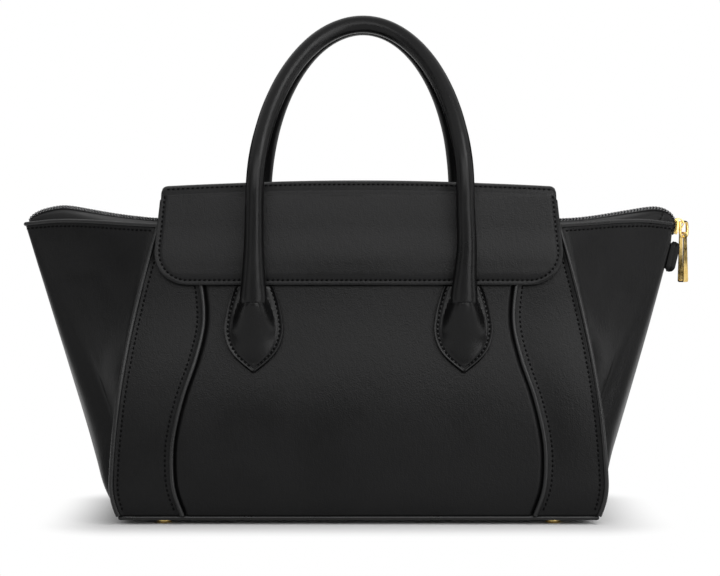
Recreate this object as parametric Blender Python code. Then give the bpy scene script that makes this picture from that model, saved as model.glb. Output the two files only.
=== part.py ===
"""Winged leather handbag with a front flap, two rolled handles and a zipped top.

Metres, +Z up. The front of the bag faces -Y and its zip closes at +X.
The bag stands on four metal feet at z = 0, with its whole box centred on the origin.
"""
import math

import bmesh
import bpy
from mathutils import Vector

# Leather, cloth and running gaps
WALL = 0.0016
GAP = 0.0003
LINING_WALL = 0.0006
LINING_EASE = 0.0008
PIPING_RADIUS = 0.0016
BINDING_RADIUS = 0.0014

# Body, measured outside, between the corner pipings
BASE_LENGTH = 0.3224
BASE_DEPTH = 0.128
TOP_LENGTH = 0.263
TOP_DEPTH = 0.086
BODY_TOP = 0.195
FOOT_HEIGHT = 0.003

# Wings: spans are tip to tip, folds are the flat width of the folded edge, and the skew is
# how much farther out the left wing is spread, and the right one drawn in
WING_TOP_SPAN = 0.4376
WING_FOOT_SPAN = 0.326
WING_TOP_FOLD = 0.017
WING_FOOT_FOLD = 0.070
WING_RISE = 0.004
WING_SKEW = 0.006
TIP_NOTCH = 0.012
SHOULDER_SHARE = 0.94
FOLD_FLAT_SHARE = 0.45

# S-shaped seams: heights are shares of the body's height, reaches shares of half its length
SEAM_HEIGHT_SHARES = (0.0, 0.10, 0.20, 0.29, 0.42, 0.55, 0.67, 0.80, 1.0)
SEAM_REACH_SHARES = (0.700, 0.742, 0.752, 0.744, 0.708, 0.656, 0.627, 0.640, 0.690)
SEAM_STEPS = 10

# Base
BOARD_THICKNESS = 0.0025
FOOT_SPACING_X = 0.255
FOOT_SPACING_Y = 0.094
FOOT_RADIUS = 0.005
FOOT_STEM_RADIUS = 0.0014
RIVET_RADIUS = 0.003
RIVET_THICKNESS = 0.0006
FOOT_RADIUS_SHARES = (0.70, 0.93, 1.0, 0.94)
FOOT_RISE_SHARES = (0.0, 0.3, 0.7, 1.0)

# Zip: a coil zip that bends round each wing tip
ZIP_BEND_RADIUS = 0.012
ZIP_SLIT = 0.0012
COIL_WIDTH = 0.0022
COIL_HEIGHT = 0.0015
TAPE_WIDTH = 0.0047
TAPE_THICKNESS = 0.0006
ZIP_DIP = 0.0095
ZIP_START_ANGLE = math.radians(170.0)
ZIP_END_ANGLE = math.radians(-32.0)
COLLAR_END_ANGLE = math.radians(20.0)
COLLAR_WALL = 0.0010
COLLAR_TUCK = 0.004
COLLAR_PUFF = 0.0012

# Zip slider, its ring and its pull
SLIDER_ANGLE = math.radians(-5.0)
SLIDER_HALF_ARC = math.radians(22.0)
BRIDGE_ANGLE = math.radians(2.0)
SLIDER_WALL = 0.0010
SLIDER_FLOOR_WIDTH = 0.0072
SLIDER_RUN = 0.0004
POST_START_SHARE = 0.4
POST_END_SHARE = 0.85
BRIDGE_WALL = 0.0008
BRIDGE_WIDTH = 0.0010
RING_TURN = math.radians(30.0)
RING_WIRE = 0.0006
RING_NEAR = 0.0020
RING_FAR = 0.0085
RING_DROP = 0.0090
RING_CORNER = 0.0025
RING_TIGHT_CORNER = 0.0012
PULL_TURN = math.radians(50.0)
PULL_PLACE = 0.0030
PULL_LENGTH = 0.0345
PULL_WALL = 0.0011
PULL_TOP_WIDTH = 0.0058
PULL_WIDTH = 0.0066
PULL_TOP_DEPTH = 0.0034
PULL_DEPTH = 0.0046
PULL_CORNER = 0.0012
PULL_CLEARANCE = 0.0005

# Leather tab on the end of the zip
END_TAB_LENGTH = 0.020
END_TAB_WIDTH = 0.0135
END_TAB_THICKNESS = 0.0032
END_TAB_SET_DOWN = 0.0045
END_TAB_DROP_SHARES = (1.0, 0.9, 0.5, 0.1, 0.0)
END_TAB_WIDTH_SHARES = (0.8, 1.0, 1.0, 1.0, 0.8)

# Flap: leather over a lining
FLAP_LEATHER = 0.0018
FLAP_TOP = 0.2205
FLAP_BOTTOM = 0.1558
FLAP_TOP_WIDTH = 0.260
FLAP_WIDTH = 0.268
FLAP_CORNER = 0.024
FLAP_HEM = 0.003
FLAP_CORNER_ANGLES = (0, 30, 52, 72)
STRIP_BOTTOM = 0.168

# Handles: two straight legs and a half ellipse, leaning in above the flap
HANDLE_RADIUS = 0.0063
HANDLE_WALL = 0.0012
HANDLE_SPREAD = 0.137
LEG_LENGTH = 0.070
ARCH_HEIGHT = 0.1155
LEAN_BEND = 0.040
HANDLE_MEETING_GAP = 0.003
HANDLE_CLEARANCE = 0.0012

# Handle tabs: half widths are shares of half the tab's width, from its tip up
TAB_LENGTH = 0.0545
TAB_WIDTH = 0.038
TAB_THICKNESS = 0.003
CREASE_DROP = 0.0100
TAB_HEIGHT_SHARES = (0.0, 0.09, 0.19, 0.305, 0.47, 0.61, 0.79, 1.0)
TAB_WIDTH_SHARES = (0.06, 0.38, 0.70, 0.885, 1.0, 0.945, 0.818, 0.60)
TAB_SWELL_SHARES = (0.0, 0.05, 0.20, 0.42, 0.70, 0.90, 1.0)
TAB_ACROSS_SHARES = (-1.0, -0.78, -0.5, -0.25, 0.0, 0.25, 0.5, 0.78, 1.0)
SWELL_ACROSS_SHARES = (0.0, 0.0, 0.5, 0.88, 1.0, 0.88, 0.5, 0.0, 0.0)
SWELL_DEPTH_SHARE = 0.85
SWELL_DROP_SHARE = 1.5

# Slip pocket inside the back
POCKET_LENGTH = 0.150
POCKET_LOW = 0.075
POCKET_TOP = 0.160

# Sizes that follow from the ones above
SEAM = max(PIPING_RADIUS, WALL) + GAP
RING_Z = FOOT_HEIGHT + PIPING_RADIUS
PANEL_LOW = FOOT_HEIGHT + 2 * PIPING_RADIUS + GAP
BASE_TOP = FOOT_HEIGHT + WALL
BOARD_TOP = BASE_TOP + GAP + BOARD_THICKNESS
LINING_FLOOR = BOARD_TOP + 2 * GAP + RIVET_THICKNESS
BINDING_Z = BINDING_RADIUS + GAP
COLLAR_SET = WALL / 2 + BINDING_RADIUS + 2 * GAP
COIL_TOP = ZIP_BEND_RADIUS + COIL_HEIGHT
RING_LIFT = RING_NEAR * math.sin(RING_TURN) + RING_WIRE + GAP
BRIDGE_HOLE = RING_LIFT + BRIDGE_WIDTH / 2 * math.tan(RING_TURN) + RING_WIRE / math.cos(RING_TURN) + GAP
BEND_Z = BODY_TOP + GAP
FLAP_STACK = FLAP_LEATHER + GAP + LINING_WALL
FLAP_STANDOFF = PIPING_RADIUS + GAP
FOLD_Z = FLAP_TOP - FLAP_STACK
TAB_TOP = FLAP_BOTTOM - 3 * GAP
PIVOT_Z = TAB_TOP - CREASE_DROP
ARCH_Z = PIVOT_Z + LEG_LENGTH


# Shape of the body

def rise(z):
    """Share of the body's height: 0 at its base, 1 at its top edge."""
    return (z - FOOT_HEIGHT) / (BODY_TOP - FOOT_HEIGHT)


def between(low, high, share):
    return low + (high - low) * share


def corner_x(z):
    return between(BASE_LENGTH, TOP_LENGTH, rise(z) ** 2) / 2


def face_y(z):
    """Distance of the front and back faces from the middle plane."""
    return between(BASE_DEPTH, TOP_DEPTH, rise(z)) / 2


def tip_x(z, side=1):
    """How far out the folded edge of a wing is, on the right side or, at -1, on the left one."""
    return between(WING_FOOT_SPAN, WING_TOP_SPAN, rise(z)) / 2 - side * WING_SKEW * rise(z)


def bend_x(side=1):
    """How far out the zip starts to bend down round a wing tip."""
    return tip_x(BODY_TOP, side) - (ZIP_BEND_RADIUS - TAPE_THICKNESS - 2 * GAP)


def fold_y(z):
    return between(WING_FOOT_FOLD, WING_TOP_FOLD, rise(z)) / 2


def smooth_share(heights, values, share):
    """A smooth line through the listed points, read at one share."""
    share = min(max(share, heights[0]), heights[-1])
    last = len(heights) - 1
    spot = max(i for i in range(last) if heights[i] <= share)

    def slope(i):
        low = max(i - 1, 0)
        high = min(i + 1, last)
        return (values[high] - values[low]) / (heights[high] - heights[low])

    span = heights[spot + 1] - heights[spot]
    t = (share - heights[spot]) / span
    start = values[spot] * (2 * t ** 3 - 3 * t ** 2 + 1)
    stop = values[spot + 1] * (3 * t ** 2 - 2 * t ** 3)
    bend_in = slope(spot) * span * (t ** 3 - 2 * t ** 2 + t)
    bend_out = slope(spot + 1) * span * (t ** 3 - t ** 2)
    return start + stop + bend_in + bend_out


def seam_x(z):
    return smooth_share(SEAM_HEIGHT_SHARES, SEAM_REACH_SHARES, rise(z)) * BASE_LENGTH / 2


def end_outline(z, side=1):
    """One end of the body seen from above, as if on the right, from the front corner to the back."""
    tip = tip_x(z, side)
    corner = Vector((corner_x(z), -face_y(z)))
    shoulder = Vector((between(corner_x(z), tip, SHOULDER_SHARE), -fold_y(z)))
    front = [corner.lerp(shoulder, i / 3) for i in range(4)]
    front.append(Vector((tip, -fold_y(z) * FOLD_FLAT_SHARE)))
    back = [Vector((spot.x, -spot.y)) for spot in reversed(front)]
    return front + back


def body_outline(z):
    left = [Vector((-spot.x, -spot.y)) for spot in end_outline(z, -1)]
    return end_outline(z) + left


def inset(outline, distance):
    """A closed outline moved inwards by one distance, square to each of its sides."""
    moved = []
    for i, spot in enumerate(outline):
        into = (spot - outline[i - 1]).normalized()
        out = (outline[(i + 1) % len(outline)] - spot).normalized()
        mitre = Vector((-into.y - out.y, into.x + out.x)).normalized()
        half = mitre.dot(Vector((-into.y, into.x)))
        moved.append(spot + mitre * distance / half)
    return moved


def wing_share(x):
    """0 up to the front corner, 1 at the wing tip, along the top edge."""
    corner = corner_x(BODY_TOP)
    tip = tip_x(BODY_TOP, math.copysign(1, x))
    return min(max((abs(x) - corner) / (tip - corner), 0.0), 1.0)


def top_edge_z(x):
    return BODY_TOP + WING_RISE * math.sin(math.pi * wing_share(x))


def top_edge_y(x):
    share = min(wing_share(x) / SHOULDER_SHARE, 1.0)
    return between(face_y(BODY_TOP), fold_y(BODY_TOP), share)


# Making solids

finishes = {}
joints = {}


def finish(name, colour, roughness, metallic=0.0):
    material = bpy.data.materials.new(name)
    material.use_nodes = True
    shader = material.node_tree.nodes["Principled BSDF"]
    shader.inputs["Base Color"].default_value = (*colour, 1.0)
    shader.inputs["Roughness"].default_value = roughness
    shader.inputs["Metallic"].default_value = metallic
    finishes[name] = material


def joint(name, place, carrier=None):
    """An empty on a joint's axis, which carries the moving pieces."""
    empty = bpy.data.objects.new(name, None)
    bpy.context.scene.collection.objects.link(empty)
    joints[name] = Vector(place)
    empty.location = joints[name]
    if carrier:
        empty.parent = bpy.data.objects[carrier]
        empty.location = joints[name] - joints[carrier]


def home(carrier):
    return joints[carrier] if carrier else Vector()


def add(name, data, look, carrier=None):
    piece = bpy.data.objects.new(name, data)
    bpy.context.scene.collection.objects.link(piece)
    data.materials.append(finishes[look])
    if carrier:
        piece.parent = bpy.data.objects[carrier]
    return piece


def thicken(piece, wall):
    shell = piece.modifiers.new("wall", "SOLIDIFY")
    shell.thickness = wall
    shell.offset = -1.0
    shell.use_even_offset = True
    return piece


def sheet(name, rows, wall, look, carrier=None, ring=False):
    """A sheet with its outer side on rows of points, thickened inwards.

    Seen from outside, the points of a row run to the right and the rows run up.
    A ring's rows close on themselves, and its lowest row gets a floor.
    """
    build = bmesh.new()
    grid = [[build.verts.new(point - home(carrier)) for point in row] for row in rows]
    columns = len(rows[0])
    for low, high in zip(grid, grid[1:]):
        for i in range(columns if ring else columns - 1):
            after = (i + 1) % columns
            build.faces.new((low[i], low[after], high[after], high[i]))
    if ring:
        build.faces.new(list(reversed(grid[0])))
    mesh = bpy.data.meshes.new(name)
    build.to_mesh(mesh)
    build.free()
    return thicken(add(name, mesh, look, carrier), wall)


def mirrored(rows, sideways=False):
    """The same sheet on the back of the bag, or on its other side."""
    turn = Vector((-1, 1, 1)) if sideways else Vector((1, -1, 1))
    return [[point * turn for point in reversed(row)] for row in rows]


def tube(name, path, radius, sides, look, carrier=None, closed=False, wall=None):
    """A round cord along a path, or with a wall, a pipe that is open at its ends."""
    curve = bpy.data.curves.new(name, "CURVE")
    curve.dimensions = "3D"
    curve.bevel_depth = radius
    curve.bevel_resolution = sides // 2 - 2
    curve.use_fill_caps = wall is None
    line = curve.splines.new("POLY")
    line.points.add(len(path) - 1)
    for spot, point in zip(line.points, path):
        spot.co = (*(point - home(carrier)), 1.0)
    line.use_cyclic_u = closed
    piece = add(name, curve, look, carrier)
    return thicken(piece, wall) if wall else piece


def prism(name, outline, low, high, look, carrier=None, along="Z"):
    """A flat outline pushed up from one height to another, or sideways along Y."""
    build = bmesh.new()
    corners = []
    for spot in outline:
        place = Vector((spot[0], spot[1], low)) if along == "Z" else Vector((spot[0], low, spot[1]))
        corners.append(build.verts.new(place))
    face = build.faces.new(corners)
    pushed = bmesh.ops.extrude_face_region(build, geom=[face])["geom"]
    travel = Vector((0, 0, high - low)) if along == "Z" else Vector((0, high - low, 0))
    moving = [item for item in pushed if isinstance(item, bmesh.types.BMVert)]
    bmesh.ops.translate(build, verts=moving, vec=travel)
    bmesh.ops.recalc_face_normals(build, faces=build.faces)
    mesh = bpy.data.meshes.new(name)
    build.to_mesh(mesh)
    build.free()
    return add(name, mesh, look, carrier)


def turned(name, profile, place, sides, look):
    """A profile of radius and height spun round an upright axis."""
    build = bmesh.new()
    spots = [build.verts.new(Vector((radius, 0, height))) for radius, height in profile]
    edges = [build.edges.new(pair) for pair in zip(spots, spots[1:])]
    bmesh.ops.spin(build, geom=spots + edges, cent=Vector(), axis=Vector((0, 0, 1)),
                   angle=math.tau, steps=sides, use_duplicate=False, use_merge=True)
    bmesh.ops.remove_doubles(build, verts=build.verts, dist=GAP / 10)
    bmesh.ops.recalc_face_normals(build, faces=build.faces)
    mesh = bpy.data.meshes.new(name)
    build.to_mesh(mesh)
    build.free()
    piece = add(name, mesh, look)
    piece.location = place
    return piece


def swept(name, section, centre, start, stop, steps, look, carrier=None):
    """A section of (y, radius) points swept round an axis along Y."""
    build = bmesh.new()
    rings = []
    for i in range(steps + 1):
        angle = between(start, stop, i / steps)
        ring = []
        for y, radius in section:
            place = Vector((centre.x + radius * math.cos(angle), y, centre.z + radius * math.sin(angle)))
            ring.append(build.verts.new(place - home(carrier)))
        rings.append(ring)
    for first, second in zip(rings, rings[1:]):
        for i in range(len(section)):
            build.faces.new((first[i - 1], first[i], second[i], second[i - 1]))
    build.faces.new(rings[0])
    build.faces.new(rings[-1])
    bmesh.ops.recalc_face_normals(build, faces=build.faces)
    mesh = bpy.data.meshes.new(name)
    build.to_mesh(mesh)
    build.free()
    return add(name, mesh, look, carrier)


def combine(piece, tool, operation):
    """Adds or cuts a helper shape, which stays in the file as a hidden wire."""
    change = piece.modifiers.new(tool.name, "BOOLEAN")
    change.operation = operation
    change.solver = "EXACT"
    change.object = tool
    tool.hide_render = True
    tool.display_type = "WIRE"


# Panels and seams

def panel_heights():
    """Heights shared by the panels' rows and the pipings' points, so that their chords run alike."""
    return [between(PANEL_LOW, BODY_TOP, i / SEAM_STEPS) for i in range(SEAM_STEPS + 1)]


def upright_rows(left, right, columns, heights):
    """Rows on the front face between two lines that give x for each height."""
    rows = []
    for z in heights:
        shares = [i / columns for i in range(columns + 1)]
        rows.append([Vector((between(left(z), right(z), s), -face_y(z), z)) for s in shares])
    return rows


def make_faces():
    heights = panel_heights()
    middle = upright_rows(lambda z: SEAM - seam_x(z), lambda z: seam_x(z) - SEAM, 6, heights)
    side = upright_rows(lambda z: seam_x(z) + SEAM, lambda z: corner_x(z) - SEAM, 2, heights)
    sheet("front_panel", middle, WALL, "panel_leather")
    sheet("back_panel", mirrored(middle), WALL, "panel_leather")
    sheet("front_side_panel_right", side, WALL, "panel_leather")
    sheet("front_side_panel_left", mirrored(side, sideways=True), WALL, "panel_leather")
    sheet("back_side_panel_right", mirrored(side), WALL, "panel_leather")
    sheet("back_side_panel_left", mirrored(mirrored(side), sideways=True), WALL, "panel_leather")


def gusset_row(z, side):
    """One row of a gusset, trimmed back from the corner pipings."""
    outline = end_outline(z, side)
    outline[0] += (outline[1] - outline[0]).normalized() * SEAM
    outline[-1] += (outline[-2] - outline[-1]).normalized() * SEAM
    return [Vector((spot.x, spot.y, z)) for spot in outline]


def make_gussets():
    """Each end is one leather piece, folded at the wing's edge and notched there for the zip."""
    for hand, side in (("right", 1), ("left", -1)):
        rows = [gusset_row(z, side) for z in panel_heights()]
        notch = gusset_row(BODY_TOP - TIP_NOTCH, side)
        for i, spot in enumerate(rows[-1]):
            spot.z = top_edge_z(side * spot.x)
            if abs(spot.y) < fold_y(BODY_TOP) * SHOULDER_SHARE:
                rows[-1][i] = notch[i]
        if side < 0:
            rows = mirrored(rows, sideways=True)
        sheet(f"gusset_{hand}", rows, WALL, "panel_leather")


def make_pipings():
    for side, y_sign in (("front", -1), ("back", 1)):
        for hand, x_sign in (("left", -1), ("right", 1)):
            for seam, line in (("seam", seam_x), ("corner", corner_x)):
                path = [Vector((x_sign * line(z), y_sign * face_y(z), z)) for z in panel_heights()]
                tube(f"{side}_{seam}_piping_{hand}", path, PIPING_RADIUS, 6, "edge_leather")
    ring = inset(body_outline(RING_Z), PIPING_RADIUS)
    path = [Vector((spot.x, spot.y, RING_Z)) for spot in ring]
    tube("base_piping", path, PIPING_RADIUS, 6, "edge_leather", closed=True)


# Base and feet

def foot_places():
    for side, y_sign in (("front", -1), ("back", 1)):
        for hand, x_sign in (("left", -1), ("right", 1)):
            place = Vector((x_sign * FOOT_SPACING_X / 2, y_sign * FOOT_SPACING_Y / 2, 0))
            yield f"{side}_{hand}", place


def make_base():
    edge = inset(body_outline(RING_Z), 2 * PIPING_RADIUS + 2 * GAP)
    panel = prism("base_panel", edge, FOOT_HEIGHT, BASE_TOP, "panel_leather")
    board = prism("base_board", edge, BASE_TOP + GAP, BOARD_TOP, "board")
    stem_top = BOARD_TOP + GAP
    head_top = FOOT_HEIGHT - GAP
    profile = [(0, 0)]
    profile += [(FOOT_RADIUS * r, head_top * h) for r, h in zip(FOOT_RADIUS_SHARES, FOOT_RISE_SHARES)]
    profile += [
        (FOOT_STEM_RADIUS, head_top),
        (FOOT_STEM_RADIUS, stem_top),
        (RIVET_RADIUS, stem_top),
        (RIVET_RADIUS, stem_top + RIVET_THICKNESS),
        (0, stem_top + RIVET_THICKNESS),
    ]
    for name, place in foot_places():
        turned(f"foot_{name}", profile, place, 12, "gold")
        wide = FOOT_STEM_RADIUS + GAP
        hole = ((0, 0), (wide, 0), (wide, 2 * BOARD_TOP), (0, 2 * BOARD_TOP))
        drill = turned(f"drill_{name}", hole, place, 12, "gold")
        combine(panel, drill, "DIFFERENCE")
        combine(board, drill, "DIFFERENCE")


# Zip, its collar and the leather on its end

def zip_drop(x):
    """How far the zip line lies below the top of its bend, between the wings."""
    bend = bend_x(math.copysign(1, x))
    share = (bend - abs(x)) / (bend - FLAP_WIDTH / 2)
    share = min(max(share, 0.0), 1.0)
    return ZIP_DIP * share ** 2 * (3 - 2 * share)


def zip_stations():
    """Points along the zip with their outward directions, from the left tip to the right."""
    stations = []
    for i in range(5):
        stations.append((-1, between(ZIP_START_ANGLE, math.pi / 2, i / 5)))
    corner = corner_x(BODY_TOP)
    for i in range(7, 0, -1):
        stations.append((0, -between(corner, bend_x(-1), i / 7)))
    for i in range(-3, 4):
        stations.append((0, corner * i / 3))
    for i in range(1, 8):
        stations.append((0, between(corner, bend_x(), i / 7)))
    for i in range(1, 8):
        stations.append((1, between(math.pi / 2, ZIP_END_ANGLE, i / 7)))
    return stations


def zip_point(station, radius):
    """A point of the zip line, at a radius measured from the bend's centre."""
    side, value = station
    if side:
        x = side * bend_x(side) + radius * math.cos(value)
        return Vector((x, 0, BEND_Z + radius * math.sin(value)))
    return Vector((value, 0, BEND_Z + radius - zip_drop(value)))


def zip_strip(radius, near, far):
    """Rows for a strip in front of the middle plane, from far out to near the slit."""
    rows = []
    for y in (far, near):
        rows.append([zip_point(station, radius) + Vector((0, -y, 0)) for station in zip_stations()])
    return rows


def make_zip():
    slit = ZIP_SLIT / 2
    tape = zip_strip(ZIP_BEND_RADIUS, slit, slit + TAPE_WIDTH)
    coil = zip_strip(COIL_TOP, slit, slit + COIL_WIDTH)
    for side in ("front", "back"):
        sheet(f"zip_tape_{side}", tape, TAPE_THICKNESS, "tape")
        sheet(f"zip_coil_{side}", coil, COIL_HEIGHT - GAP, "coil")
        tape = mirrored(tape)
        coil = mirrored(coil)


def collar_foot(station):
    """x along the top edge from which the collar rises to one point of the zip."""
    side, value = station
    if not side:
        return value
    spread = abs(math.pi / 2 - value) / (math.pi / 2)
    return side * (bend_x(side) + (ZIP_BEND_RADIUS - TAPE_THICKNESS - BINDING_RADIUS) * spread)


def collar_stations():
    """The zip's stations up to where the collar runs out at each wing tip."""
    low = COLLAR_END_ANGLE
    return [(side, value) for side, value in zip_stations() if not side or low <= value <= math.pi - low]


def make_bindings():
    """A rolled edge on the top of each face and its wings, from tip to tip."""
    for side, y_sign in (("front", -1), ("back", 1)):
        path = []
        for station in collar_stations():
            x = collar_foot(station)
            y = top_edge_y(x) - WALL / 2
            path.append(Vector((x, y_sign * y, top_edge_z(x) + BINDING_Z)))
        tube(f"{side}_top_binding", path, BINDING_RADIUS, 6, "edge_leather")


def make_collars():
    rows = [[], [], [], []]
    edge_y = ZIP_SLIT / 2 + TAPE_WIDTH + GAP + COLLAR_WALL
    for station in collar_stations():
        foot = collar_foot(station)
        y = top_edge_y(foot) - COLLAR_SET
        edge = zip_point(station, ZIP_BEND_RADIUS) + Vector((0, -edge_y, 0))
        shoulder = Vector((foot, -y, top_edge_z(foot) + 2 * BINDING_Z))
        rows[0].append(Vector((foot, -y, top_edge_z(foot) - COLLAR_TUCK)))
        rows[1].append(shoulder)
        puff = COLLAR_PUFF * (y - edge_y) / (face_y(BODY_TOP) - edge_y)
        rows[2].append(shoulder.lerp(edge, 0.5) + Vector((0, 0, puff)))
        rows[3].append(edge)
    sheet("zip_collar_front", rows, COLLAR_WALL, "edge_leather")
    sheet("zip_collar_back", mirrored(rows), COLLAR_WALL, "edge_leather")


def make_end_tab():
    """A slab of folded leather below the zip's end, along the wing's edge. Gives its outermost x."""
    down = Vector((tip_x(0) - tip_x(BODY_TOP), 0, -BODY_TOP)).normalized()
    out = Vector((-down.z, 0, down.x))
    tape_end = zip_point((1, ZIP_END_ANGLE), ZIP_BEND_RADIUS)
    drop = tape_end.z - BODY_TOP - END_TAB_SET_DOWN
    inner = Vector((tip_x(BODY_TOP + drop), 0, BODY_TOP + drop)) + out * GAP * 2
    half = END_TAB_WIDTH / 2
    rows = []
    for drop_share, width_share in zip(END_TAB_DROP_SHARES, END_TAB_WIDTH_SHARES):
        width = half * width_share
        middle = inner + down * END_TAB_LENGTH * drop_share + out * END_TAB_THICKNESS
        rows.append([middle + Vector((0, y, 0)) for y in (-width, -width / 2, width / 2, width)])
    sheet("zip_end_tab", rows, END_TAB_THICKNESS, "edge_leather")
    return max(spot.x for row in rows for spot in row)


# Slider, ring and pull

def make_slider():
    joint("slider_joint", (bend_x(), 0, BEND_Z))
    centre = joints["slider_joint"]
    roof_low = COIL_TOP + SLIDER_RUN
    roof_top = roof_low + SLIDER_WALL
    flange = ZIP_BEND_RADIUS + SLIDER_RUN
    inner = ZIP_SLIT / 2 + COIL_WIDTH + SLIDER_RUN
    outer = inner + SLIDER_WALL
    floor_top = ZIP_BEND_RADIUS - TAPE_THICKNESS - SLIDER_RUN
    floor_low = floor_top - SLIDER_WALL
    post = ZIP_SLIT / 2 - GAP
    sink = SLIDER_WALL / 2
    start = SLIDER_ANGLE - SLIDER_HALF_ARC
    stop = SLIDER_ANGLE + SLIDER_HALF_ARC
    roof = ((-outer, flange), (-outer, roof_top), (outer, roof_top), (outer, flange),
            (inner, flange), (inner, roof_low), (-inner, roof_low), (-inner, flange))
    body = swept("zip_slider", roof, centre, start, stop, 4, "gold", "slider_joint")
    wide = SLIDER_FLOOR_WIDTH / 2
    floor = ((-wide, floor_low), (-wide, floor_top), (wide, floor_top), (wide, floor_low))
    lower = swept("slider_floor", floor, centre, start, stop, 4, "gold", "slider_joint")
    foot = floor_top - sink
    head = roof_low + sink
    stud = ((-post, foot), (-post, head), (post, head), (post, foot))
    post_start = between(SLIDER_ANGLE, stop, POST_START_SHARE)
    post_end = between(SLIDER_ANGLE, stop, POST_END_SHARE)
    pin = swept("slider_post", stud, centre, post_start, post_end, 1, "gold", "slider_joint")
    away = Vector((math.cos(BRIDGE_ANGLE), 0, math.sin(BRIDGE_ANGLE)))
    half = BRIDGE_WIDTH / 2
    band = ((-half, BRIDGE_HOLE), (-half, BRIDGE_HOLE + BRIDGE_WALL),
            (half, BRIDGE_HOLE + BRIDGE_WALL), (half, BRIDGE_HOLE))
    sunk = math.asin(sink / (BRIDGE_HOLE + BRIDGE_WALL))
    half_turn = math.pi / 2 + sunk
    bridge = swept("slider_bridge", band, centre + away * roof_top,
                   BRIDGE_ANGLE - half_turn, BRIDGE_ANGLE + half_turn, 8, "gold", "slider_joint")
    for tool in (pin, lower, bridge):
        combine(body, tool, "UNION")
    return centre + away * (roof_top + RING_LIFT)


def turned_axes(angle):
    """Level directions of a hanging piece that is turned from the Y axis: along it, and out from it."""
    return Vector((math.sin(angle), math.cos(angle), 0)), Vector((math.cos(angle), -math.sin(angle), 0))


def make_ring(bar, tab_x):
    """A wire loop through the slider's bridge, turned a little, that hangs clear of the end tab."""
    joint("ring_joint", bar, "slider_joint")
    along, out = turned_axes(RING_TURN)
    pull_along, pull_out = turned_axes(PULL_TURN)
    pull_half = (PULL_DEPTH * pull_along.x + PULL_WIDTH * pull_out.x) / 2
    short = tab_x + PULL_CLEARANCE + pull_half - (bar.x + PULL_PLACE * along.x)
    lean = math.asin(min(max(short / (RING_DROP * out.x), 0.0), 1.0))
    down = out * math.sin(lean) - Vector((0, 0, math.cos(lean)))
    path = []
    corners = (
        (RING_FAR, 0, 0, RING_CORNER),
        (RING_FAR, RING_DROP, -90, RING_CORNER),
        (-RING_NEAR, RING_DROP, -180, RING_CORNER),
        (-RING_NEAR, 0, -270, RING_TIGHT_CORNER),
    )
    for side, fall, turn, radius in corners:
        side -= math.copysign(radius, side)
        fall += radius if fall == 0 else -radius
        for step in (90, 60, 30, 0):
            angle = math.radians(turn + step)
            reach = side + radius * math.cos(angle)
            path.append(bar + along * reach + down * (fall - radius * math.sin(angle)))
    tube("zip_ring", path, RING_WIRE, 6, "gold", "ring_joint", closed=True)
    return bar + along * PULL_PLACE + down * RING_DROP


def make_pull(bar):
    """A long metal frame that hangs by its own top on the ring's lower bar, and widens downwards."""
    joint("pull_joint", bar, "ring_joint")
    along, out = turned_axes(PULL_TURN)
    top = RING_WIRE + GAP + PULL_WALL
    low = top - PULL_LENGTH
    loops = []
    for wall in (0.0, PULL_WALL):
        corner = PULL_CORNER - wall / 2
        loop = []
        corners = (
            (1, top - wall, 0),
            (1, low + wall, -90),
            (-1, low + wall, -180),
            (-1, top - wall, -270),
        )
        for side, z, turn in corners:
            width = PULL_TOP_WIDTH if z > 0 else PULL_WIDTH
            middle = Vector((side * (width / 2 - wall - corner), z - math.copysign(corner, z)))
            for step in (90, 45, 0):
                angle = math.radians(turn + step)
                loop.append(middle + corner * Vector((math.cos(angle), math.sin(angle))))
        loops.append(loop)
    build = bmesh.new()
    rings = []
    for side in (-1, 1):
        for loop in loops:
            ring = []
            for spot in loop:
                depth = between(PULL_DEPTH, PULL_TOP_DEPTH, (spot.y - low) / PULL_LENGTH) / 2
                place = out * spot.x + along * side * depth + Vector((0, 0, spot.y))
                ring.append(build.verts.new(place))
            rings.append(ring)
    outer_front, inner_front, outer_back, inner_back = rings
    for first, second in ((outer_front, inner_front), (inner_front, inner_back),
                          (inner_back, outer_back), (outer_back, outer_front)):
        for i in range(len(first)):
            build.faces.new((first[i - 1], first[i], second[i], second[i - 1]))
    bmesh.ops.recalc_face_normals(build, faces=build.faces)
    mesh = bpy.data.meshes.new("zip_pull")
    build.to_mesh(mesh)
    build.free()
    add("zip_pull", mesh, "gold", "pull_joint")


# Flap

def flap_y(z):
    """Inner side of the flap's front, and of the strip behind, from the middle plane."""
    return face_y(z) + FLAP_STANDOFF


def flap_half(z):
    """Half the width of the flap's front, with its lower corners rounded."""
    straight = between(FLAP_WIDTH, FLAP_TOP_WIDTH, (z - FLAP_BOTTOM) / (FLAP_TOP - FLAP_BOTTOM)) / 2
    rest = FLAP_BOTTOM + FLAP_CORNER - z
    if rest <= 0:
        return straight
    return straight - FLAP_CORNER + math.sqrt(max(FLAP_CORNER ** 2 - rest ** 2, 0.0))


def level_row(half, y, z, columns=6):
    return [Vector((between(-half, half, i / columns), y, z)) for i in range(columns + 1)]


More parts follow.
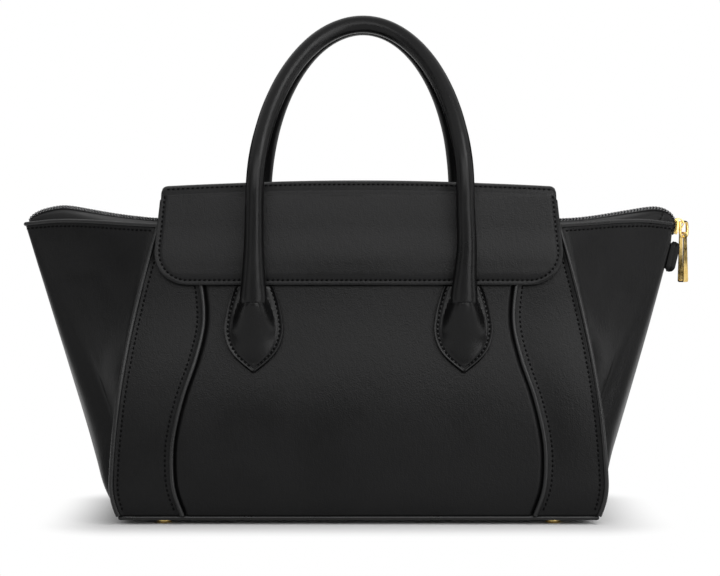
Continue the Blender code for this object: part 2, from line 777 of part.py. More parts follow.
def make_flap():
    strip_y = flap_y(FLAP_TOP) + FLAP_LEATHER
    half = FLAP_TOP_WIDTH / 2
    strip = []
    for share in (0.0, 0.5, 1.0):
        z = between(STRIP_BOTTOM, FLAP_TOP, share)
        strip.append(level_row(half, -(flap_y(z) + FLAP_LEATHER), z, 4))
    sheet("flap_back_strip", mirrored(strip), FLAP_LEATHER, "flap_leather")
    joint("flap_top_joint", (0, strip_y, FLAP_TOP))
    fold = Vector((0, -flap_y(FOLD_Z), FOLD_Z))
    joint("flap_front_joint", fold, "flap_top_joint")
    rows = []
    for degrees in (180, 150, 120, 90):
        angle = math.radians(degrees)
        around = FLAP_STACK * Vector((0, math.cos(angle), math.sin(angle)))
        rows.append(level_row(half, fold.y + around.y, FOLD_Z + around.z))
    start = strip_y - FLAP_LEATHER - 2 * GAP
    for i in range(1, 4):
        rows.append(level_row(half, between(fold.y, start, i / 3), FLAP_TOP))
    sheet("flap_top", rows, FLAP_LEATHER, "flap_leather", "flap_top_joint")
    lining_half = half - FLAP_HEM
    under = [level_row(lining_half, y, FOLD_Z + LINING_WALL, 4) for y in (fold.y, start - FLAP_HEM)]
    sheet("flap_top_lining", under, LINING_WALL, "lining", "flap_top_joint")
    top = FOLD_Z - GAP
    knee = FLAP_BOTTOM + FLAP_CORNER
    heights = [knee - FLAP_CORNER * math.cos(math.radians(a)) for a in FLAP_CORNER_ANGLES]
    heights += [knee, between(knee, top, 0.5), top]
    front = [level_row(flap_half(z), -(flap_y(z) + FLAP_STACK), z) for z in heights]
    sheet("flap_front", front, FLAP_LEATHER, "flap_leather", "flap_front_joint")
    low = FLAP_BOTTOM + FLAP_HEM
    heights = [between(low, top, (z - FLAP_BOTTOM) / (top - FLAP_BOTTOM)) for z in heights]
    inside = [level_row(flap_half(z) - FLAP_HEM, -(flap_y(z) + LINING_WALL), z) for z in heights]
    sheet("flap_front_lining", inside, LINING_WALL, "lining", "flap_front_joint")


# Handles and their tabs

LEG_Y = flap_y(FLAP_BOTTOM) + FLAP_STACK + HANDLE_CLEARANCE + HANDLE_RADIUS


def lean_y(z):
    """Distance of a handle from the middle plane: upright legs, then a steady lean inwards."""
    apex_y = HANDLE_RADIUS + HANDLE_MEETING_GAP / 2
    slope = (LEG_Y - apex_y) / (ARCH_HEIGHT - LEAN_BEND / 2)
    above = z - ARCH_Z
    if above <= 0:
        return LEG_Y
    if above < LEAN_BEND:
        return LEG_Y - slope * above ** 2 / (2 * LEAN_BEND)
    return LEG_Y - slope * (above - LEAN_BEND / 2)


def handle_path(y_sign):
    half = HANDLE_SPREAD / 2
    spots = [(-half, PIVOT_Z + GAP), (-half, between(PIVOT_Z, ARCH_Z, 0.5))]
    for i in range(21):
        angle = between(math.pi, 0.0, i / 20)
        spots.append((half * math.cos(angle), ARCH_Z + ARCH_HEIGHT * math.sin(angle)))
    spots += [(half, between(PIVOT_Z, ARCH_Z, 0.5)), (half, PIVOT_Z + GAP)]
    return [Vector((x, y_sign * lean_y(z), z)) for x, z in spots]


def tab_rows():
    """Rows of a front tab at x = 0: a flat rim, a swell below the leg and a seat behind it."""
    tip = TAB_TOP - TAB_LENGTH
    swell_top = PIVOT_Z - SWELL_DROP_SHARE * HANDLE_RADIUS
    swell_end = PIVOT_Z - HANDLE_RADIUS - 2 * GAP
    seat = LEG_Y - HANDLE_RADIUS - GAP
    count = len(TAB_SWELL_SHARES) - 1
    levels = []
    for i, swell in enumerate(TAB_SWELL_SHARES):
        z = between(tip, swell_top, i / count)
        rim = face_y(z) + GAP + TAB_THICKNESS
        levels.append((z, rim, between(rim, LEG_Y + HANDLE_RADIUS, SWELL_DEPTH_SHARE * swell)))
    for share in (0.0, 0.5, 1.0):
        z = between(swell_end, TAB_TOP, share)
        rim = face_y(z) + GAP + TAB_THICKNESS
        levels.append((z, rim, max(seat, rim)))
    rows = []
    for z, rim, crest in levels:
        half = smooth_share(TAB_HEIGHT_SHARES, TAB_WIDTH_SHARES, (z - tip) / TAB_LENGTH) * TAB_WIDTH / 2
        row = []
        for across, lift in zip(TAB_ACROSS_SHARES, SWELL_ACROSS_SHARES):
            row.append((Vector((across * half, -between(rim, crest, lift), z)),
                        Vector((across * half, -face_y(z) - GAP, z))))
        rows.append(row)
    return rows


def make_tab(name, x, y_sign):
    """A solid between the tab's outer side and the flat leather behind it."""
    build = bmesh.new()
    rows = tab_rows()
    place = Vector((x, 0, 0))
    turn = Vector((1, -y_sign, 1))
    outer = [[build.verts.new(front * turn + place) for front, back in row] for row in rows]
    inner = [[build.verts.new(back * turn + place) for front, back in row] for row in rows]
    for grid in (outer, inner):
        for low, high in zip(grid, grid[1:]):
            for i in range(len(low) - 1):
                build.faces.new((low[i], low[i + 1], high[i + 1], high[i]))
    rim = outer[0] + [row[-1] for row in outer[1:]] + outer[-1][-2::-1] + [row[0] for row in outer[-2:0:-1]]
    seat = inner[0] + [row[-1] for row in inner[1:]] + inner[-1][-2::-1] + [row[0] for row in inner[-2:0:-1]]
    for i in range(len(rim)):
        build.faces.new((rim[i - 1], rim[i], seat[i], seat[i - 1]))
    bmesh.ops.recalc_face_normals(build, faces=build.faces)
    mesh = bpy.data.meshes.new(name)
    build.to_mesh(mesh)
    build.free()
    add(name, mesh, "panel_leather")


def make_handles():
    core = HANDLE_RADIUS - HANDLE_WALL - GAP
    for side, y_sign in (("front", -1), ("back", 1)):
        carrier = f"{side}_handle_joint"
        joint(carrier, (0, y_sign * LEG_Y, PIVOT_Z))
        path = handle_path(y_sign)
        tube(f"{side}_handle", path, HANDLE_RADIUS, 10, "handle_leather", carrier, wall=HANDLE_WALL)
        tube(f"{side}_handle_core", path, core, 6, "core", carrier)
        make_tab(f"{side}_handle_tab_left", -HANDLE_SPREAD / 2, y_sign)
        make_tab(f"{side}_handle_tab_right", HANDLE_SPREAD / 2, y_sign)


# Lining and pocket

def make_lining():
    distance = WALL + LINING_EASE
    top = BODY_TOP - COLLAR_TUCK - 2 * GAP
    rows = []
    inner = [z for z in panel_heights() if LINING_FLOOR + SEAM < z < top - SEAM]
    for z in [LINING_FLOOR] + inner + [top]:
        ring = inset(body_outline(z), distance)
        rows.append([Vector((spot.x, spot.y, z)) for spot in ring])
    sheet("bag_lining", rows, LINING_WALL, "lining", ring=True)
    rows = []
    half = POCKET_LENGTH / 2
    for share in (0.0, 1.0):
        z = between(POCKET_LOW, POCKET_TOP, share)
        y = face_y(z) - distance - LINING_WALL - GAP - LINING_WALL
        rows.append(level_row(half, y, z, 2))
    sheet("slip_pocket", rows, LINING_WALL, "lining")


def make_finishes():
    finish("panel_leather", (0.018, 0.018, 0.019), 0.42)
    finish("flap_leather", (0.028, 0.028, 0.029), 0.40)
    finish("handle_leather", (0.020, 0.020, 0.021), 0.36)
    finish("edge_leather", (0.022, 0.022, 0.023), 0.34)
    finish("lining", (0.05, 0.045, 0.042), 0.9)
    finish("tape", (0.02, 0.02, 0.021), 0.85)
    finish("coil", (0.03, 0.03, 0.032), 0.35)
    finish("board", (0.12, 0.10, 0.08), 0.9)
    finish("core", (0.6, 0.58, 0.52), 0.9)
    finish("gold", (0.80, 0.58, 0.25), 0.2, 1.0)


def centre_on_origin():
    """The pull reaches past the right wing tip, so the bag's middle lies left of the origin."""
    left = bend_x(-1) + COIL_TOP
    right = joints["ring_joint"].x + RING_FAR * math.sin(RING_TURN) + RING_WIRE
    for piece in bpy.data.objects:
        if piece.parent is None:
            piece.location.x -= (right - left) / 2


def main():
    for piece in list(bpy.data.objects):
        bpy.data.objects.remove(piece, do_unlink=True)
    make_finishes()
    make_faces()
    make_gussets()
    make_pipings()
    make_bindings()
    make_base()
    make_zip()
    make_collars()
    tab_x = make_end_tab()
    bridge = make_slider()
    make_pull(make_ring(bridge, tab_x))
    make_flap()
    make_handles()
    make_lining()
    centre_on_origin()


main()
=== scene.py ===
import math

import bmesh
import bpy
from mathutils import Matrix, Vector, kdtree, noise


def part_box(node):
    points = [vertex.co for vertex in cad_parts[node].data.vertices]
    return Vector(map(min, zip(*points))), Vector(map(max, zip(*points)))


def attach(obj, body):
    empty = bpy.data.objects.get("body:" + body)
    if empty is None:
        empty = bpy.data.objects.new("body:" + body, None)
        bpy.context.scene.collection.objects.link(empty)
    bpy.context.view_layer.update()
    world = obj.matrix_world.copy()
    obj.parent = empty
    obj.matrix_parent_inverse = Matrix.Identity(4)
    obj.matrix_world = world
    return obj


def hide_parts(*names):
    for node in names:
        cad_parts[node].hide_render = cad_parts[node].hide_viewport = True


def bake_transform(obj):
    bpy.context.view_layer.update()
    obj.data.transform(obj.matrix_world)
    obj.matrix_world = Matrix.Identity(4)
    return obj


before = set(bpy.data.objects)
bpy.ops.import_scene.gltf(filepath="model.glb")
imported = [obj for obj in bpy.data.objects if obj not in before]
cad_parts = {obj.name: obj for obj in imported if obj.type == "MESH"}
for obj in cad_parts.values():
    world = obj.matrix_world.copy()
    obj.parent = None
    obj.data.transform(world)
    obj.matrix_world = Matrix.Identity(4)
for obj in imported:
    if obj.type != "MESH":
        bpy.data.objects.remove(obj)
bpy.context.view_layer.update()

# Studio: the bag stands on a pale sweep in front of a white wall, under soft boxes, and is
# looked at from straight ahead, level with its zip, with a long lens. All of it is stage:
# the sweep turns white away from the bag, and keeps the bag's soft shadow near it.
PICTURE_WIDTH = 720
FOCAL_PIXELS = 2077
HORIZON_PIXELS = 63
SENSOR_MM = 36
VIEW_END = 50
EYE_DISTANCE = 1.41
EYE_HEIGHT = 0.195
EYE_SHIFT = 0.00085
panel_low, panel_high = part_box("front_panel")
middle_x = (panel_low.x + panel_high.x) / 2


class Paint:
    """A socket of a material. Python's operators on it add Math nodes, and node() adds any other."""

    def __init__(self, tree, socket=None):
        self.tree = tree
        self.socket = socket

    def node(self, kind, values=(), output=0, **settings):
        made = self.tree.nodes.new(kind)
        for name, setting in settings.items():
            setattr(made, name, setting)
        for name, value in dict(values).items():
            if isinstance(value, Paint):
                self.tree.links.new(value.socket, made.inputs[name])
            else:
                made.inputs[name].default_value = value
        return Paint(self.tree, made.outputs[output])

    def maths(self, operation, *values):
        return self.node("ShaderNodeMath", enumerate(values), operation=operation)

    def __add__(self, other):
        return self.maths("ADD", self, other)

    def __sub__(self, other):
        return self.maths("SUBTRACT", self, other)

    def __rsub__(self, other):
        return self.maths("SUBTRACT", other, self)

    def __mul__(self, other):
        return self.maths("MULTIPLY", self, other)

    def __gt__(self, other):
        return self.maths("GREATER_THAN", self, other)

    def size(self):
        return self.maths("ABSOLUTE", self)

    def top(self, other):
        return self.maths("MAXIMUM", self, other)

    def ramp(self, start, stop, low=0.0, high=1.0):
        values = {"Value": self, "From Min": start, "From Max": stop, "To Min": low, "To Max": high}
        return self.node("ShaderNodeMapRange", values, interpolation_type="SMOOTHSTEP")

    def mix(self, low, high):
        """Between two colours, by this factor."""
        ends = [(*end, 1.0) if isinstance(end, tuple) else end for end in (low, high)]
        return self.node("ShaderNodeMix", {0: self, 6: ends[0], 7: ends[1]}, output=2, data_type="RGBA")

    def place(self):
        """Where a point is on the piece, in metres."""
        return self.node("ShaderNodeTexCoord", output="Object")

    def cloud(self, place, scale, detail=2.0, **values):
        """Noise of so many lumps to the metre."""
        values = {"Vector": place, "Scale": scale, "Detail": detail, **values}
        return self.node("ShaderNodeTexNoise", values)

    def bump(self, strength, distance):
        """The surface direction that this height gives."""
        values = {"Height": self, "Strength": strength, "Distance": distance}
        return self.node("ShaderNodeBump", values, output="Normal")

    __radd__ = __add__
    __rmul__ = __mul__


def start_material(name, constants):
    material = bpy.data.materials.new(name)
    material.use_nodes = True
    shader = material.node_tree.nodes["Principled BSDF"]
    for socket, value in constants.items():
        shader.inputs[socket].default_value = value
    return material, Paint(material.node_tree)


def finish_material(material, links):
    shader = material.node_tree.nodes["Principled BSDF"]
    for socket, paint in links.items():
        material.node_tree.links.new(paint.socket, shader.inputs[socket])
    return material


def background_rays(paint):
    """1 for a ray that shows the background: seen straight, mirrored or through glass."""
    rays = [paint.node("ShaderNodeLightPath", output=ray)
            for ray in ("Is Camera Ray", "Is Glossy Ray", "Is Transmission Ray")]
    return rays[0].top(rays[1]).top(rays[2])


def select_only(*pieces):
    """Leaves nothing selected but these, and makes the last one active."""
    bpy.ops.object.select_all(action="DESELECT")
    for piece in pieces:
        piece.select_set(True)
        bpy.context.view_layer.objects.active = piece


select_only()
bpy.ops.object.camera_add(location=(middle_x + EYE_SHIFT, -EYE_DISTANCE, EYE_HEIGHT),
                          rotation=(math.pi / 2, 0, 0))
camera = bpy.context.object
camera.name = "camera"
camera.data.sensor_width = SENSOR_MM
camera.data.lens = FOCAL_PIXELS / PICTURE_WIDTH * SENSOR_MM
camera.data.shift_y = -HORIZON_PIXELS / PICTURE_WIDTH
camera.data.clip_end = VIEW_END
bpy.context.scene.camera = camera
bpy.context.scene.view_settings.view_transform = "Standard"

FLOOR_SIZE = 16
FLOOR_TONE = 0.93
FLOOR_MOTTLE = 0.02
FLOOR_BOUNCE = 0.30
WHITE_RUN = 0.060
BAG_HALF = (0.15, 0.058, 0.0)
SKY_LEVEL = 0.2

world = bpy.data.worlds.new("studio")
bpy.context.scene.world = world
world.use_nodes = True
air = Paint(world.node_tree)
level = background_rays(air).ramp(0.0, 1.0, SKY_LEVEL, 1.0)
sky = world.node_tree.nodes["Background"]
sky.inputs["Color"].default_value = (1.0, 1.0, 1.0, 1.0)
world.node_tree.links.new(level.socket, sky.inputs["Strength"])

select_only()
bpy.ops.mesh.primitive_plane_add(size=FLOOR_SIZE, location=(middle_x, 0, 0))
floor = bpy.context.object
floor.name = "floor"
bpy.ops.object.transform_apply(location=True, rotation=False, scale=False)
floor_look, sweep = start_material("pale_sweep", {"Roughness": 0.9, "Specular IOR Level": 0.0})
flat = sweep.place()
away = sweep.node("ShaderNodeVectorMath", {0: flat}, operation="ABSOLUTE")
away = sweep.node("ShaderNodeVectorMath", {0: away, 1: BAG_HALF}, operation="SUBTRACT")
away = sweep.node("ShaderNodeVectorMath", {0: away, 1: (0.0, 0.0, 0.0)}, operation="MAXIMUM")
away = sweep.node("ShaderNodeVectorMath", {0: away}, output="Value", operation="LENGTH")
glow = sweep.node("ShaderNodeEmission", {"Color": (1.0, 1.0, 1.0, 1.0), "Strength": 1.0})
watched = background_rays(sweep)
pale = sweep.cloud(flat, 3.0).mix((FLOOR_TONE,) * 3, (FLOOR_TONE + FLOOR_MOTTLE,) * 3)
finish_material(floor_look, {"Base Color": watched.mix((FLOOR_BOUNCE,) * 3, pale)})
share = away.ramp(0.0, WHITE_RUN) * watched
matt = Paint(sweep.tree, sweep.tree.nodes["Principled BSDF"].outputs[0])
blend = sweep.node("ShaderNodeMixShader", {0: share, 1: matt, 2: glow})
sweep.tree.links.new(blend.socket, sweep.tree.nodes["Material Output"].inputs["Surface"])
floor.data.materials.append(floor_look)

# Black flags stand round the set, out of the picture, so that the dark leather and the gold show
# the lamps and not a white room. The light from above them still falls in.
FLAG_REACH = 2.4
FLAG_HEIGHT = 1.3
select_only()
bpy.ops.mesh.primitive_cylinder_add(vertices=64, radius=FLAG_REACH, depth=FLAG_HEIGHT,
                                    end_fill_type="NOTHING", location=(0, 0, FLAG_HEIGHT / 2))
flags = bpy.context.object
flags.name = "black_flags"
bpy.ops.object.transform_apply(location=True)
flags.visible_camera = False
flag_look, felt = start_material("black_felt", {"Roughness": 1.0, "Specular IOR Level": 0.0})
nap = felt.cloud(felt.place(), 40.0)
finish_material(flag_look, {"Base Color": nap.mix((0.012, 0.012, 0.012), (0.024, 0.024, 0.024))})
flags.data.materials.append(flag_look)

# name, place, what it points at, width, height, watts
SOFT_BOXES = (
    ("box_front", (0.0, -1.30, 0.69), (0.0, 0.0, 0.10), 1.2, 0.6, 7.0),
    ("box_right", (0.73, -1.04, 0.30), (0.0, -0.03, 0.17), 0.6, 0.8, 5.1),
    ("box_left", (-0.80, -1.05, 0.35), (0.0, -0.03, 0.17), 0.6, 0.8, 1.4),
    ("box_high", (0.40, -0.50, 0.70), (0.0, -0.05, 0.20), 0.3, 0.4, 2.0),
    ("side_right", (0.97, -0.25, 0.35), (0.0, 0.0, 0.16), 0.3, 0.7, 1.2),
    ("side_left", (-0.97, -0.25, 0.35), (0.0, 0.0, 0.16), 0.3, 0.7, 0.6),
    ("back_right", (1.05, 0.25, 0.32), (0.0, 0.0, 0.14), 0.25, 0.6, 0.8),
    ("back_left", (-1.05, 0.25, 0.32), (0.0, 0.0, 0.14), 0.25, 0.6, 0.5),
)
for name, place, aim, width, height, watts in SOFT_BOXES:
    turn = (Vector(aim) - Vector(place)).to_track_quat("-Z", "Y").to_euler()
    bpy.ops.object.light_add(type="AREA", location=place, rotation=turn)
    lamp = bpy.context.object
    lamp.name = name
    lamp.data.shape = "RECTANGLE"
    lamp.data.size = width
    lamp.data.size_y = height
    lamp.data.energy = watts
    lamp.visible_camera = False

# Front and back of the bag: a middle panel of smooth black calf leather between two S-shaped
# side panels. Each side panel laps over the middle one with a folded, corded edge, and is sewn
# down beside it. The leather is stretched over a soft interlining, so it swells a little.
SIDES = (("front", 1), ("back", -1))
HANDS = (("left", -1), ("right", 1))
BODY_FOOT = 0.003
BODY_TOP = 0.195
BASE_LENGTH = 0.3224
TOP_LENGTH = 0.263
BASE_DEPTH = 0.128
TOP_DEPTH = 0.086
PANEL_LOW = 0.0062
LEATHER = 0.0016
SEAM_HEIGHTS = (0.0, 0.10, 0.20, 0.29, 0.42, 0.55, 0.67, 0.80, 1.0)
SEAM_REACHES = (0.700, 0.742, 0.752, 0.744, 0.708, 0.656, 0.627, 0.640, 0.690)
BELLY = 0.0016
BELLY_HALF = 0.14
SIDE_BELLY = BELLY * 0.9
UNEVEN = 0.0004
BULGE = 0.0042
BULGE_AT = 0.076
BULGE_END = 0.150
LAP_WIDTH = 0.0050
LAP_RISE = 0.0015
LAP_GAP = 0.0008
GROOVE_DEPTH = 0.0026
GROOVE_WIDTH = 0.0038
RIM_RISE = 0.0009
RIM_RUN = (0.0010, 0.0042)
RIM_DROP = 0.0022
RIM_ROUND = 0.0016
LOW_ROUND = 0.026
LOW_TUCK = 0.0066
LOW_TUCK_DEPTH = 0.0036
TUCK_ALONG = (0.115, 0.158)
TUCK_ACROSS = (0.02, 0.05)
BORDER_STEP = 0.0006
PANEL_TONE = (0.0050, 0.0050, 0.0052)


def between(low, high, share):
    return low + (high - low) * share


def soft(value, start, stop):
    """0 before start, 1 after stop, and smooth in between."""
    share = min(max((value - start) / (stop - start), 0.0), 1.0)
    return share * share * (3 - 2 * share)


def rise(z):
    return (z - BODY_FOOT) / (BODY_TOP - BODY_FOOT)


def corner_x(z):
    return between(BASE_LENGTH, TOP_LENGTH, rise(z) ** 2) / 2


def face_y(z):
    """Half the depth: the stuffed bag bulges above its base, and leans back from there to the zip."""
    bulge = BULGE * soft(z, BODY_FOOT, BULGE_AT) * (1 - soft(z, BULGE_AT, BULGE_END))
    return between(BASE_DEPTH, TOP_DEPTH, rise(z)) / 2 + bulge


def through(places, values, spot):
    """A smooth line through the listed values, read at one spot."""
    spot = min(max(spot, places[0]), places[-1])
    i = max(k for k in range(len(places) - 1) if places[k] <= spot)
    span = places[i + 1] - places[i]
    slopes = []
    for k in (i, i + 1):
        low, high = max(k - 1, 0), min(k + 1, len(places) - 1)
        slopes.append((values[high] - values[low]) / (places[high] - places[low]) * span)
    t = (spot - places[i]) / span
    start = values[i] * (2 * t ** 3 - 3 * t ** 2 + 1) + slopes[0] * (t ** 3 - 2 * t ** 2 + t)
    return start + values[i + 1] * (3 * t ** 2 - 2 * t ** 3) + slopes[1] * (t ** 3 - t ** 2)


def seam_x(z):
    return through(SEAM_HEIGHTS, SEAM_REACHES, rise(z)) * BASE_LENGTH / 2


def ripple(spot, scale, height):
    """The slight unevenness of leather over a soft filling."""
    return noise.noise(Vector(spot) * scale) * height


def tucked(spot):
    """The lower edge rounds in towards the base, and most of all at the corners."""
    low = min(max(1 - (spot.z - BODY_FOOT) / LOW_ROUND, 0.0), 1.0) ** 2
    spot.x -= math.copysign(LOW_TUCK * low * soft(abs(spot.x), *TUCK_ALONG), spot.x)
    spot.y -= math.copysign(LOW_TUCK_DEPTH * low * soft(abs(spot.y), *TUCK_ACROSS), spot.y)
    return spot


def middle_spot(x, z):
    groove = GROOVE_DEPTH * (1 - soft(seam_x(z) - abs(x), 0.0, GROOVE_WIDTH))
    swell = BELLY * math.sin(math.pi * rise(z)) * (1 - (x / BELLY_HALF) ** 2)
    lift = swell - groove + ripple((x, 0.3, z), 22, UNEVEN)
    return tucked(Vector((x, -face_y(z) - lift, z)))


def side_spot(x, z):
    across = (x - seam_x(z)) / (corner_x(z) - seam_x(z))
    lap = LAP_RISE * (1 - soft(x - seam_x(z), 0.0, LAP_WIDTH))
    aside = corner_x(z) - x
    rim = RIM_RISE * (1 - soft(aside, *RIM_RUN)) - RIM_DROP * (1 - soft(aside, 0.0, RIM_ROUND))
    swell = SIDE_BELLY * math.sin(math.pi * min(max(across, 0), 1)) * math.sin(math.pi * rise(z))
    lift = lap + rim + swell + ripple((x, 0.7, z), 26, UNEVEN)
    return tucked(Vector((x, -face_y(z) - lift, z)))


def on_side(spot, across, facing):
    """A point of the front's right half, brought to its own side and hand of the bag."""
    return Vector((middle_x + across * spot.x, facing * spot.y, spot.z))


def clustered(share, strength=0.75):
    """Shares from 0 to 1 that stand closer at both ends, where an edge turns."""
    return share - strength * math.sin(2 * math.pi * share) / (2 * math.pi)


def grid_piece(name, columns, rows, place):
    """A grid laid on place(u, v). Seen from outside, u runs to the right and v runs up."""
    select_only()
    bpy.ops.mesh.primitive_grid_add(x_subdivisions=columns, y_subdivisions=rows, size=1)
    piece = bpy.context.object
    piece.name = piece.data.name = name
    for vert in piece.data.vertices:
        vert.co = place(vert.co.x + 0.5, vert.co.y + 0.5)
    return piece


def mark_border(piece, skip=None):
    """Writes 1 plus each point's distance from the piece's cut edge, for the edge paint and the painted shade
    beside the seams.
    """
    build = bmesh.new()
    build.from_mesh(piece.data)
    spots = []
    for edge in build.edges:
        if edge.is_boundary:
            a, b = (vert.co for vert in edge.verts)
            if skip and skip((a + b) / 2):
                continue
            count = max(int((a - b).length / BORDER_STEP), 1)
            spots += [a.lerp(b, i / count) for i in range(count)]
    build.free()
    tree = kdtree.KDTree(max(len(spots), 1))
    for i, spot in enumerate(spots):
        tree.insert(spot, i)
    tree.balance()
    border = piece.data.attributes.new("border", "FLOAT", "POINT")
    for i, vert in enumerate(piece.data.vertices):
        border.data[i].value = 1.0 + (tree.find(vert.co)[2] if spots else 1.0)


def apply_modifier(piece, kind, **settings):
    select_only(piece)
    change = piece.modifiers.new(kind.lower(), kind)
    for name, setting in settings.items():
        setattr(change, name, setting)
    bpy.ops.object.modifier_apply(modifier=change.name)


def round_edges(piece, width, segments, degrees):
    """Bevels the edges that turn by more than so many degrees."""
    apply_modifier(piece, "BEVEL", width=width, segments=segments, limit_method="ANGLE",
                   angle_limit=math.radians(degrees))


def smooth(piece, degrees=50):
    select_only(piece)
    bpy.ops.object.shade_smooth_by_angle(angle=math.radians(degrees))


def dress(piece, material, slot, *nodes):
    """The finish of a piece, and the CAD nodes that it stands for."""
    piece.data.materials.clear()
    piece.data.materials.append(material)
    if nodes:
        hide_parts(*nodes)
    return piece


def leather_piece(name, columns, rows, place, wall, material, slot, nodes, edge=0.0, skip=None):
    """A cut piece of leather with its wall turned inwards and its edge a little rounded."""
    piece = grid_piece(name, columns, rows, place)
    mark_border(piece, skip)
    apply_modifier(piece, "SOLIDIFY", thickness=wall, offset=-1.0, use_even_offset=False)
    if edge:
        round_edges(piece, edge, 2, 65)
    smooth(piece)
    return dress(piece, material, slot, *nodes)


def leather(name, tone, roughness, shade_seams=False, grain=0.22, shine=0.16):
    """Calf leather with fine pores and short slanting creases, with a dull painted edge. On pieces sewn all
    round, the dark band is widened to paint the shade beside the seams.
    """
    material, paint = start_material(name, {"Specular IOR Level": shine, "IOR": 1.5})
    place = paint.place()
    cloud = paint.cloud(place, 16.0, 3.0)
    slanting = {"Vector": place, "Rotation": (0.2, 0.7, 0.1), "Scale": (1.0, 1.0, 0.35)}
    crease = paint.cloud(paint.node("ShaderNodeMapping", slanting), 520.0, 3.0, Distortion=0.5)
    pores = paint.node("ShaderNodeTexVoronoi", {"Vector": place, "Scale": 1150.0, "Smoothness": 0.4},
                       feature="SMOOTH_F1")
    border = paint.node("ShaderNodeAttribute", output="Fac", attribute_name="border")
    # The dark band at the cut edge is 0.4 mm of edge paint, or 1.6 mm of painted shade beside the seams on sewn
    # panels.
    edge_paint_and_seam_shade = border.ramp(1.0, 1.0016 if shade_seams else 1.0004, 1.0, 0.0) * (border > 0.5)
    rim, deep, light = (tuple(c * share for c in tone) for share in (0.3, 0.84, 1.14))
    speck = crease.ramp(0.25, 0.75, 0.42, 0.58) + cloud - 0.5
    colour = edge_paint_and_seam_shade.mix(speck.ramp(0.35, 0.65).mix(deep, light), rim)
    bump = (crease * 0.7 + pores * 0.4).bump(grain * 2.2, 0.0003)
    shade = cloud.ramp(0.3, 0.7, roughness - 0.04, roughness + 0.05) + crease * 0.03 + edge_paint_and_seam_shade * 0.5
    return finish_material(material, {"Base Color": colour, "Roughness": shade, "Normal": bump})


# Panels and wings: their wide dark edge band is painted shade along every seam and cord.
panel_leather = leather("panel_calf", PANEL_TONE, 0.36, shade_seams=True, grain=0.36, shine=0.15)


def face_piece(name, spot, left, right, across, facing, columns, node):
    """One panel between two seam lines: across is -1 on the left, facing is -1 at the back."""
    def place(u, v):
        z = between(PANEL_LOW, BODY_TOP, v)
        share = clustered(u if across * facing > 0 else 1 - u)
        return on_side(spot(between(left(z), right(z), share), z), across, facing)
    piece = leather_piece(name, columns, 64, place, LEATHER, panel_leather, "panel_leather", [node])
    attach(piece, "bag")


for side, facing in SIDES:
    face_piece(f"{side}_middle", middle_spot, lambda z: -seam_x(z) + LAP_GAP,
               lambda z: seam_x(z) - LAP_GAP, 1, facing, 60, f"{side}_panel")
    for hand, across in HANDS:
        face_piece(f"{side}_side_{hand}", side_spot, seam_x, lambda z: corner_x(z) - LAP_GAP,
                   across, facing, 26, f"{side}_side_panel_{hand}")

# Wings: at each end one wide piece of the same leather runs round from the front corner to the
# back one. It stands flat at the base, and towards the top it is folded outwards to a narrow
# edge. The folded leather is left soft, so it sags between the corner and the fold.
TIP_FOOT = 0.1624
TIP_TOP = 0.2198
TIP_SKEW_FOOT = 0.0037
TIP_SKEW_TOP = 0.0054
RIGHT_SWELL = 0.0018
RIGHT_PINCH = 0.0016
PINCH_FROM = 0.180
FOLD_FOOT = 0.035
FOLD_TOP = 0.0085
FOLD_HEIGHTS = (0.003, 0.05, 0.10, 0.15, 0.18, 0.195)
FOLD_ROUNDS = (0.014, 0.022, 0.0175, 0.0095, 0.005, 0.0035)
FOLD_MOST = 0.9
HALF_ROUND = 0.29
FLAT_FROM = 0.020
EDGE_SHARES = (0.0, 0.25, 0.50, 0.68, 0.80, 0.94, 1.0)
EDGE_RISES = (-0.0008, 0.0004, 0.0019, 0.0024, 0.0021, 0.0009, 0.0003)
WING_SAG = 0.0042
SAG_STRETCH = 1.05
CORNER_TUCK = 0.0020
CORNER_TUCK_RUN = 0.03
FOLD_WAVE = 0.0022
FINE_WAVE = 0.0005
WAVE_IN = (0.02, 0.3)
WAVE_OUT = (0.75, 0.95)
WAVE_ASIDE = 0.3
NOTCH_SIDE = (0.0047, 0.0065)
NOTCH_DEPTH = 0.012


def tip_x(z, side):
    skew = side * between(TIP_SKEW_FOOT, TIP_SKEW_TOP, rise(z))
    own = 0.0
    if side > 0:
        own = RIGHT_SWELL * math.sin(math.pi * rise(z)) - RIGHT_PINCH * soft(z, PINCH_FROM, BODY_TOP)
    return between(TIP_FOOT, TIP_TOP, rise(z)) - skew + own


def wing_share(x, side):
    start = corner_x(BODY_TOP)
    return min(max((abs(x) - start) / (tip_x(BODY_TOP, side) - start), 0.0), 1.0)


def top_edge_z(x, side):
    return BODY_TOP + through(EDGE_SHARES, EDGE_RISES, wing_share(x, side))


def spline(points, share):
    """A smooth curve through points, read at a share of its run."""
    last = len(points) - 1
    spot = min(max(share, 0.0), 1.0) * last
    i = min(int(spot), last - 1)
    t = spot - i
    before = points[i - 1] if i else points[0] * 2 - points[1]
    after = points[i + 2] if i + 2 <= last else points[last] * 2 - points[last - 1]
    a, b = points[i], points[i + 1]
    return 0.5 * (2 * a + (b - before) * t + (2 * before - 5 * a + 4 * b - after) * t ** 2
                  + (3 * a - before - 3 * b + after) * t ** 3)


